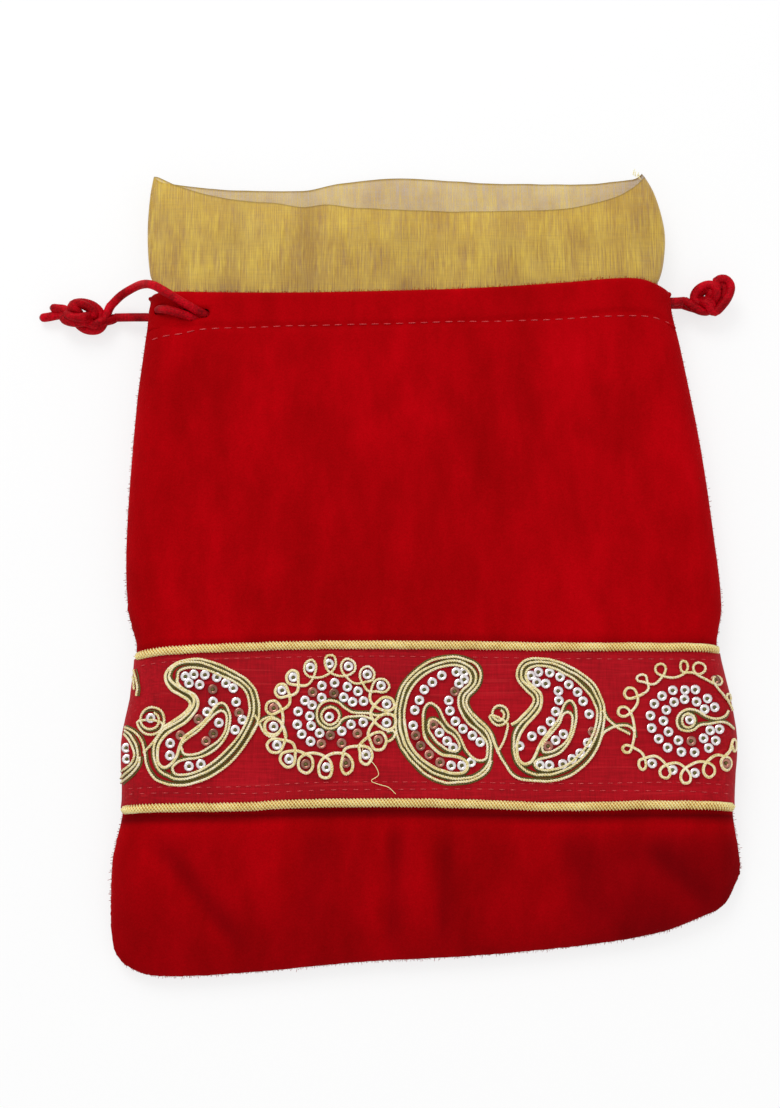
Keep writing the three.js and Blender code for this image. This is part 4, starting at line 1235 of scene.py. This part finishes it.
LOOPS = {  # loops round a rosette as x, y and two radii, and the cord between them
    "left_rosette": (
        [
            (-32.7, -35.1, 2, 2.8), (-27.1, -33.6, 1.9, 2.8), (-22, -34.7, 2.4, 2.7),
            (-16.6, -36.9, 2.4, 2.6), (-12.7, -40.1, 2.8, 2.3), (-11.3, -45.3, 2.9, 2.3),
            (-11.1, -50.2, 3.1, 2.6), (-13.4, -55.6, 2.6, 2.9), (-16.9, -59.6, 2.1, 2.9),
            (-22.2, -62.2, 2, 3), (-28.2, -63.2, 2.2, 3.2), (-33.7, -61.9, 2.4, 3),
            (-38.7, -60.6, 2.5, 2.6), (-42.3, -56.9, 2.6, 2.3), (-43, -51.6, 2.8, 2.6),
            (-43.1, -46.3, 2.4, 2.2), (-40.7, -41.6, 2.2, 2.3), (-37.7, -37.8, 2.1, 2.4),
        ],
        [
            (-33.5, -39.9), (-29.6, -37.7), (-24.8, -37.3), (-20, -39.4), (-16.2, -41.7),
            (-15.7, -44.3), (-15.6, -48.1), (-16.3, -53.4), (-18.8, -57), (-22.7, -57.8),
            (-25.6, -59), (-31, -59), (-35.2, -58.6), (-37.4, -56.2), (-39.4, -54),
            (-40.3, -48.5), (-38.5, -45.3), (-36.5, -42),
        ],
    ),
    "right_rosette": (
        [
            (85.4, -43, 1, 1.4), (82.2, -38.5, 1.7, 1.6), (77.2, -35.1, 2, 2),
            (73.1, -34.6, 1.4, 2.1), (66.4, -35.4, 1.8, 2), (61, -38, 1.8, 1.4),
            (57.6, -42.2, 2.1, 1.9), (55.5, -47.4, 2, 1.7), (56.1, -57.8, 1.6, 1.4),
            (60.3, -62, 1.4, 1.9), (66.6, -64.2, 1.8, 2.1), (72.3, -65.5, 1.8, 2.3),
            (78.7, -63.6, 1.9, 2.4), (83.6, -61.5, 1.9, 2.3), (86.3, -56.4, 1, 2.1),
        ],
        [
            (86.4, -46.6), (83.4, -42.1), (79.6, -38.7), (75.2, -36.4), (70.2, -37.8),
            (64.3, -39.7), (62.7, -41.1), (59.6, -44.7), (58.4, -51.8), (60.4, -59),
            (64.2, -59.9), (70, -61.7), (75.4, -61.5), (80.6, -59.5), (84.8, -58),
            (86.7, -53.7),
        ],
    ),
}
SILVER_SEQUINS = [
    (-68, -37.5), (-65.6, -36.9), (-62.5, -37), (-59.1, -37.7), (-56.5, -39.4), (-54.4, -40.8),
    (-53.5, -44.7), (-66.9, -39.4), (-63.9, -39.8), (-60, -44.6), (-61.6, -47.5),
    (-51.6, -49.7), (-53.6, -52.5), (-58.2, -50.5), (-71.7, -56.2), (-71.7, -59.6),
    (-66.3, -62.6), (-63, -62), (-77.2, -49.2), (-83.9, -57.2), (-83.6, -60.3), (4.5, -37.2),
    (1.8, -39.1), (-0.5, -41.2), (-1.9, -44.2), (-3.2, -47), (-3.7, -51.3), (8.6, -36.2),
    (10.8, -36.2), (10.8, -38.3), (9.3, -39.5), (6.4, -44.3), (6.7, -47.2), (8.2, -50.1),
    (10.3, -52.2), (12.9, -54.1), (15.1, -55.9), (3.7, -53.3), (5.8, -55.6), (6.9, -62.4),
    (9.9, -62.4), (12.5, -61.5), (7.5, -57.4), (29.7, -37.2), (31.8, -36.2), (35, -36.4),
    (37.9, -37.6), (40.3, -39.8), (42.7, -41.9), (44.2, -44.5), (45.8, -48.1), (31.3, -39.1),
    (33.8, -39.5), (37.3, -41.6), (37.4, -44.3), (36.4, -47.4), (34.9, -50.2), (32.4, -52.7),
    (29.6, -54.3), (26.1, -57), (31.7, -62.3), (34.3, -62.3), (38.1, -62), (40.7, -60.6),
    (43, -59), (45.2, -56.1), (38.4, -53.7), (36.2, -55.4), (-29.4, -40.1), (-25.8, -39.3),
    (-22.2, -40.4), (-19.2, -41.7), (-17.6, -44.5), (-23.2, -43.4), (-20.7, -44.7),
    (-29.4, -43.5), (-32.1, -45.6), (-34.1, -44.3), (-36, -47.4), (-32.7, -48.7), (-36.2, -51),
    (-32.3, -51.4), (-29.9, -53.4), (-34.9, -53.7), (-32.4, -55.7), (-21.1, -51),
    (-17.7, -50.4), (-23.7, -52.9), (-27.2, -48.9), (-32.7, -34.9), (-27.4, -33.8),
    (-21.9, -34.6), (-16.6, -36.9), (-12.7, -40.1), (-11.1, -45.3), (-11.1, -50.5),
    (-16.9, -59.4), (-27.9, -62.9), (-38.4, -60.6), (-41.8, -56.7), (-42.8, -51.6),
    (-40.6, -41.4), (-37.5, -37.7), (69.6, -41.4), (73, -41.3), (75.9, -41.2), (66.5, -43),
    (64.2, -45.2), (63, -48.5), (63.2, -52), (65.1, -55), (67.5, -57.4), (71.3, -58.6),
    (75, -58.7), (78.9, -57.5), (80.9, -55.4), (82.1, -52.2), (79.5, -52.6), (77.6, -54.8),
    (69.8, -44.7), (72.8, -43.9), (76.1, -44.6), (78.2, -46.7), (67.5, -46.9), (66.6, -50),
    (67.9, -53), (70.6, -55.4), (79.1, -43.7), (81, -46.1), (74.1, -49.7), (63, -61.8),
    (68.7, -63.6), (74.9, -64.4),
]
COPPER_SEQUINS = [
    (-60.2, -41.1), (-52.6, -47.7), (-68.9, -54), (-59.7, -53.5), (-61.7, -55.6), (-64, -49.5),
    (8.1, -41.7), (-3, -54), (-1.6, -56.9), (0.8, -59.4), (3.8, -61.5), (2, -51), (46.6, -53),
    (34.1, -57), (-19.3, -53.5), (-32, -41.9), (-26, -42.2), (-26.9, -54), (-29.4, -56.4),
    (-23.7, -56.2), (-13.5, -55.3), (-22.5, -61.7), (-33.7, -62), (-42.9, -46.4), (74.2, -55.6),
    (81.6, -38.3), (83.6, -61.5),
]


def beside(points, off, closed=False):
    """A line at that distance to the left of a smooth curve through the points."""
    line = spaced(points, ZARI_STEP, closed)
    count = len(line)
    made = []
    for i, spot in enumerate(line):
        a = line[(i - 1) % count] if closed or i else line[0]
        b = line[(i + 1) % count] if closed or i < count - 1 else line[-1]
        along = (b - a).normalized()
        made.append(spot + Vector((-along.y, along.x, 0)) * off)
    return made


def looped(loops, between):
    """One cord that throws a small loop outwards at each step of its way round a rosette."""
    middle = sum((Vector(loop[:2]) for loop in loops), Vector((0, 0))) / len(loops)
    first, second = Vector(loops[0][:2]) - middle, Vector(loops[1][:2]) - middle
    way = math.copysign(1, first.cross(second))
    points = []
    for (x, y, wide, tall), before in zip(loops, between):
        points.append((*before, 0))
        out = math.atan2(y - middle.y, x - middle.x)
        for degrees in (152, 90, 35, -35, -90, -152):
            a = out + way * math.radians(degrees)
            r = (max(0.5, wide - 0.35), max(0.6, tall - 0.35))
            points.append((x + r[0] * math.cos(a), y + r[1] * math.sin(a), 0))
    return points


def motif_cords(name):
    """The cords of a motif, and dark lines beside them: couching thread and painted shadow.

    A paisley's outline has a dark line on both of its sides, the other cords on one.
    """
    cords = [(spaced([(x, y, 0) for x, y in way], ZARI_STEP, shut), shut)
             for shut, way in MOTIFS[name]]
    if name in LOOPS:
        shut = name == "left_rosette"
        cords.append((spaced(looped(*LOOPS[name]), ZARI_STEP, shut), shut))
    dark = []
    for n, (shut, way) in enumerate(MOTIFS[name]):
        flat = [(x, y, 0) for x, y in way]
        if "paisley" in name and n == 0:
            dark += [(beside(flat, side * ZARI_PITCH / 2, shut), shut) for side in (1, -1)]
        else:
            dark.append((beside(flat, ZARI_PITCH / 2, shut), shut))
    return cords, dark


def embroider(name, where):
    """Lays a motif's cords on the ribbon, each a little higher where it may cross others."""
    cords, dark = motif_cords(name) if name in MOTIFS else curl_cords(name)
    for lines, height, step in ((cords, ZARI / 2 - 0.04, 0.05), (dark, 0.1, 0)):
        laid = []
        for n, (line, _) in enumerate(lines):
            sway = [0.12 * rough(p.x, p.y, 2.6, 60 + n) for p in line]
            up = height + step * (n % 3)
            laid.append([on_trim(where, p.x + w, p.y + w, up) for p, w in zip(line, sway)])
        shut = [n for n, (_, closed) in enumerate(lines) if closed]
        if step and laid:
            swept = twisted(f"zari_{where}_{name}", laid, zari_section, ZARI_LAY, shut)
            piece(swept, zari, "zari", f"{where}_{name}")
        elif laid:
            # Dark lines beside the cords: couching thread and painted shadow in the gaps.
            run = tube(f"couching_{where}_{name}", laid, COUCHING, 0, shut)
            piece(run, olive, "zari")


def curl_cords(name):
    """A spiral of nearly two turns that runs out below, and a dark ring between its turns."""
    (cx, cy, inner, outer), way = CURLS[name]
    path = []
    for n in range(17):
        a = math.radians(70 - n * 38)
        r = lerp(inner, outer, smooth(4, 10, n))
        path.append((cx + r * math.cos(a), cy + r * 1.08 * math.sin(a), 0))
    path += [(x, y, 0) for x, y in way]
    # The dark ring: couching thread and painted shadow between the turns.
    ring = [
        (cx + 1.1 * (inner + outer) / 2 * math.cos(a), cy + (inner + outer) / 2 * math.sin(a), 0)
        for a in (n * math.pi / 5 for n in range(10))
    ]
    return [(spaced(path, ZARI_STEP), False)], [(spaced(ring, ZARI_STEP, True), True)]


for where in SKINS:
    for name in (*MOTIFS, *CURLS):
        embroider(name, where)

# Sequins: small film cups with a hole, sewn down inside the motifs

SEQUIN_STEPS = 10
SEQUIN_PROFILE = [(0.52, 0.1), (0.95, 0.06), (1.4, 0.3), (1.4, 0.38), (0.92, 0.17), (0.52, 0.2)]
COPPER_TONE = 0.7
SEQUIN_LIFT = 0.3
SEQUIN_LEAN = 0.16
SEQUIN_STITCH = 1.6
SEQUIN_THREAD = 1.02


def sequins(name, where):
    """All the sequins of one side as one piece, each with a tone of its own."""
    bm = bmesh.new()
    tone = bm.verts.layers.float.new("tone")
    skin, side = SKINS[where]
    spots = [(x, y, 0.0) for x, y in SILVER_SEQUINS]
    spots += [(x, y, COPPER_TONE) for x, y in COPPER_SEQUINS]
    for x, y, start in spots:
        verts = [bm.verts.new((r, 0, up)) for r, up in SEQUIN_PROFILE]
        edges = [bm.edges.new((verts[i - 1], verts[i])) for i in range(len(verts))]
        bmesh.ops.spin(
            bm, geom=[*verts, *edges], cent=(0, 0, 0), axis=(0, 0, 1), angle=2 * math.pi,
            steps=SEQUIN_STEPS, use_merge=True, dvec=(0, 0, 0),
        )
        found, rim = set(verts), set(verts)
        while rim:
            rim = {e.other_vert(v) for v in rim for e in v.link_edges} - found
            found |= rim
        jitter = noise.noise_vector(Vector((x * 0.37, y * 0.41, 3.3)))
        shade = start + 0.15 + 0.3 * noise.noise(Vector((x * 0.21, y * 0.23, 8.1)))
        spot = on_trim(where, x, y, SEQUIN_LIFT)
        lean = Matrix.Rotation(SEQUIN_LEAN * jitter.z, 4, "X")
        lean = lean @ Matrix.Rotation(SEQUIN_LEAN * jitter.y, 4, "Y")
        flip = Matrix.Rotation(math.pi, 4, "Y") if side < 0 else Matrix.Identity(4)
        place = Matrix.Translation(spot * MM) @ flip @ lean @ Matrix.Scale(MM, 4)
        for vert in found:
            vert[tone] = clamp(shade)
            vert.co = place @ vert.co
    bmesh.ops.recalc_face_normals(bm, faces=bm.faces)
    return piece(as_object(name, bm), film, "zari")


for where in SKINS:
    sequins(f"sequins_{where}", where)

# Stitches: short straight runs of thread that dip in at both ends

STITCH_THREAD = 0.34
CASING_PITCH = 3.6
RIBBON_STITCH = 2.6
RIBBON_THREAD = 0.26
STITCH_SHARE = 0.72  # of its pitch that a stitch shows


def stitches(name, points, finish, slot, pitch, wide=STITCH_THREAD):
    """One stitch for each (point, direction) of a list."""
    bm = bmesh.new()
    for spot, along in points:
        made = bmesh.ops.create_uvsphere(bm, u_segments=6, v_segments=5, radius=0.5)
        turn = along.to_track_quat("X", "Z").to_matrix().to_4x4()
        size = Matrix.Diagonal((pitch * STITCH_SHARE * MM, wide * MM, wide * 0.8 * MM, 1))
        bmesh.ops.transform(
            bm, matrix=Matrix.Translation(spot * MM) @ turn @ size, verts=made["verts"],
        )
    return piece(as_object(name, bm), finish, slot)


def stitch_line(where, y_at, pitch, up, margin=2.0, swing=0.25):
    """Places along a line across one side, each with the direction it runs in."""
    skin, side = SKINS[where]
    found = []
    ends = (left_edge(y_at(0)) + margin, right_edge(y_at(0)) - margin)
    count = int((ends[1] - ends[0]) / pitch)
    spots = []
    for i in range(count * 2 + 1):
        x = lerp(*ends, i / (count * 2))
        y = y_at(x) + swing * rough(x, y_at(x), 15, 31)
        spots.append(raised(skin, side, x, y, up))
    for a, b, c in zip(spots[0::2], spots[1::2], spots[2::2]):
        found.append((b, c - a))
    return found


for where in SKINS:
    stitches(f"sequin_threads_{where}", [
        (on_trim(where, x, y, 0.36), Vector((1, 0.6 * rough(x, y, 9, 77), 0)))
        for x, y in SILVER_SEQUINS + COPPER_SEQUINS
    ], olive, "zari", SEQUIN_STITCH, SEQUIN_THREAD)
    stitches(
        f"casing_stitches_{where}", stitch_line(where, casing_line, CASING_PITCH, 0.12), thread,
        "velvet", CASING_PITCH,
    )
    sewn = []
    for y_at, pitch in (
        (lambda x: upper_line(x) - 3.3, 2.9),
        (lambda x: lower_line(x) + 5.9 + 0.3 * math.sin(x / 33), 2.7),
        (lambda x: lower_line(x) + 3.9 + 0.4 * math.sin(x / 21), 3.1),
    ):
        sewn += stitch_line(where, y_at, pitch, GAP + RIBBON + 0.08)
    stitches(f"ribbon_stitches_{where}", sewn, thread, "silk", RIBBON_STITCH, RIBBON_THREAD)

# Pile that stands out past the bag's outline and over its mouth

PILE = 0.11
SIDE_FIBRES = 700
MOUTH_FIBRES = 800
FOOT_FIBRES = 700


def outline_pile():
    """Short fibres as lines of two points, from the outline outwards."""
    found = []
    for n in range(SIDE_FIBRES):
        y = lerp(-100, 76, n / SIDE_FIBRES)
        for edge, out in ((left_edge, -1), (right_edge, 1)):
            x = edge(y) - out * 0.3
            if y > bottom_edge(x) + 1:
                found.append((Vector((x, y, seam_level(y))), Vector((out, 0, 0))))
    for n in range(MOUTH_FIBRES):
        x = lerp(-80, 72, n / MOUTH_FIBRES)
        y = mouth_edge(x)
        top = front_skin(x, y - FOLD) - FOLD
        found.append((Vector((x, y - 0.3, top)), Vector((0, 1, 0.3))))
    for n in range(FOOT_FIBRES):
        x = lerp(-84, 82, n / FOOT_FIBRES)
        y = bottom_edge(x)
        found.append((Vector((x, y + 0.3, seam_level(y))), Vector((0, -1, 0))))
    made = []
    for start, out in found:
        lean = noise.noise_vector(start * 3.1)
        start = start + Vector((lean.y * 0.4, lean.x * 0.4, lean.z * 0.6))
        made.append([start, start + (out + lean * 0.9) * (0.55 + 0.4 * lean.z)])
    return made


piece(tube("velvet_pile", outline_pile(), PILE, 0), velvet, "velvet")

# Loose ends: one thread hangs off the left rosette, and the collar's corner is frayed

LOOSE_THREAD = [
    (-17.4, -56.4), (-17.8, -58.2), (-16.2, -60.4), (-14.2, -62.6), (-13.4, -65), (-15.4, -66.6),
    (-13.2, -67.6), (-10.6, -68.4), (-8.6, -70.2),
]
strand = spaced([on_trim("front", x, y, 0.5) for x, y in LOOSE_THREAD], 0.4)
piece(tube("loose_thread", [strand], 0.2, 1), gold, "zari")

fray = []
for i in range(9):
    start = Vector((64.8 + 0.35 * i, 119.1 - 0.12 * i, 7.2 - 0.2 * i))
    lean = noise.noise_vector(Vector((i * 1.3, 0.4, 2.2)))
    fray.append(spaced([
        start,
        start + Vector((0.5 * lean.x, 0.8, 0.4 * lean.z)),
        start + Vector((1.5 * lean.x, 1.7 + 0.6 * lean.y, 0.8 * lean.z)),
    ], 0.3))
piece(tube("frayed_corner", fray, 0.16, 1), gold, "organza")

# Cords and their knots

ROUTE_STEP = 0.9
KNOT_CORD = CORD * 1.06
CORD_TIP = CORD * 1.1
KNOTS = {  # the doubled cord's way through each knot, and how far its ends come apart
    "left": ((
        (-103.3, 74.1, 4.8), -0.3, 1, 1.9, 16, (-96, 75.4, 3.4), (-113, 75.8, 3.2),
        (-117.4, 75.6, 2.4),
    ), 1),
    "right": ((
        (86.4, 79.3, 5), 0.4, -1, 1.3, 13, (79.8, 78.4, 3.4), (88.4, 75.6, 4.4), (90.7, 77.6, 5.2),
        (92.2, 80.4, 6), (92.5, 82.8, 6.4), (91.2, 84.2, 6.6), (89.4, 83.6, 6.4), (90.6, 82.1, 5.8),
    ), 0),
}
# Each cord, with its knot and the tips of its two ends
for name, points in (("left", LEFT_STRING), ("right", RIGHT_STRING)):
    line = spaced(points, ROUTE_STEP)
    ends = (line[0], line[-1]) if name == "right" else (line[-1], line[0])
    cord = piece(tube(f"{name}_cord", [line], CORD), satin, "cord", f"{name}_drawstring")
    route, splay = KNOTS[name]
    tied = strands(knot_route(*route), ends, splay)
    knot = piece(
        tube(f"{name}_cord_knot", tied, KNOT_CORD, round_end=True), satin, "cord",
        f"{name}_knot",
    )
    tips = [strand[-2:] for strand in tied]
    tip = piece(tube(f"{name}_cord_ends", tips, CORD_TIP, 3, round_end=True), singed, "cord")
    length_of(line) * MM

for section in (zari_section, braid_section):
    bpy.data.objects.remove(section)

# Floor and light

PAPER_GLOW = 0.72  # how much of the paper the camera sees as plain white
SKY_LEVEL = 0.72  # the sky's light on the bag; the camera sees the sky as plain white

floor_mesh = bmesh.new()
bmesh.ops.create_grid(floor_mesh, x_segments=8, y_segments=8, size=3.0)
floor = as_object("floor", floor_mesh)
paper = Finish("floor_paper", Roughness=0.9, Specular_IOR_Level=0.1)
grain = paper.speckle(paper.place(), 1.5, 2)
paper.set("Base Color", paper.mix(grain, rgb(255, 255, 255), rgb(251, 251, 251)))
seen = paper.node("ShaderNodeLightPath", output="Is Camera Ray")
glow = paper.node("ShaderNodeEmission", {}, {"Color": WHITE, "Strength": 1.0})
blend = paper.node("ShaderNodeMixShader", {}, {
    0: seen * PAPER_GLOW, 1: Wire(paper, paper.shader.outputs[0]), 2: glow,
})
paper.feed(paper.tree.nodes["Material Output"].inputs["Surface"], blend)
floor.data.materials.append(paper.material)

world = bpy.data.worlds.new("studio")
world.use_nodes = True
sky = Nodes(world.node_tree)
level = sky.node("ShaderNodeMapRange", {}, {
    "Value": sky.node("ShaderNodeLightPath", output="Is Camera Ray"),
    "To Min": SKY_LEVEL, "To Max": 1.0,
}, output="Result")
background = sky.tree.nodes["Background"]
sky.feed(background.inputs["Color"], WHITE)
sky.feed(background.inputs["Strength"], level)
scene.world = world


def lamp(name, place, size, watts):
    """A soft square light that points at the middle of the bag."""
    light = bpy.data.lights.new(name, "AREA")
    light.size = size
    light.energy = watts
    made = bpy.data.objects.new(name, light)
    made.location = place
    made.rotation_euler = (-Vector(place)).to_track_quat("-Z", "Y").to_euler()
    scene.collection.objects.link(made)


lamp("window", (-0.35, 0.75, 0.8), 0.55, 4.6)
lamp("fill", (0.5, -0.5, 0.9), 0.9, 0.8)
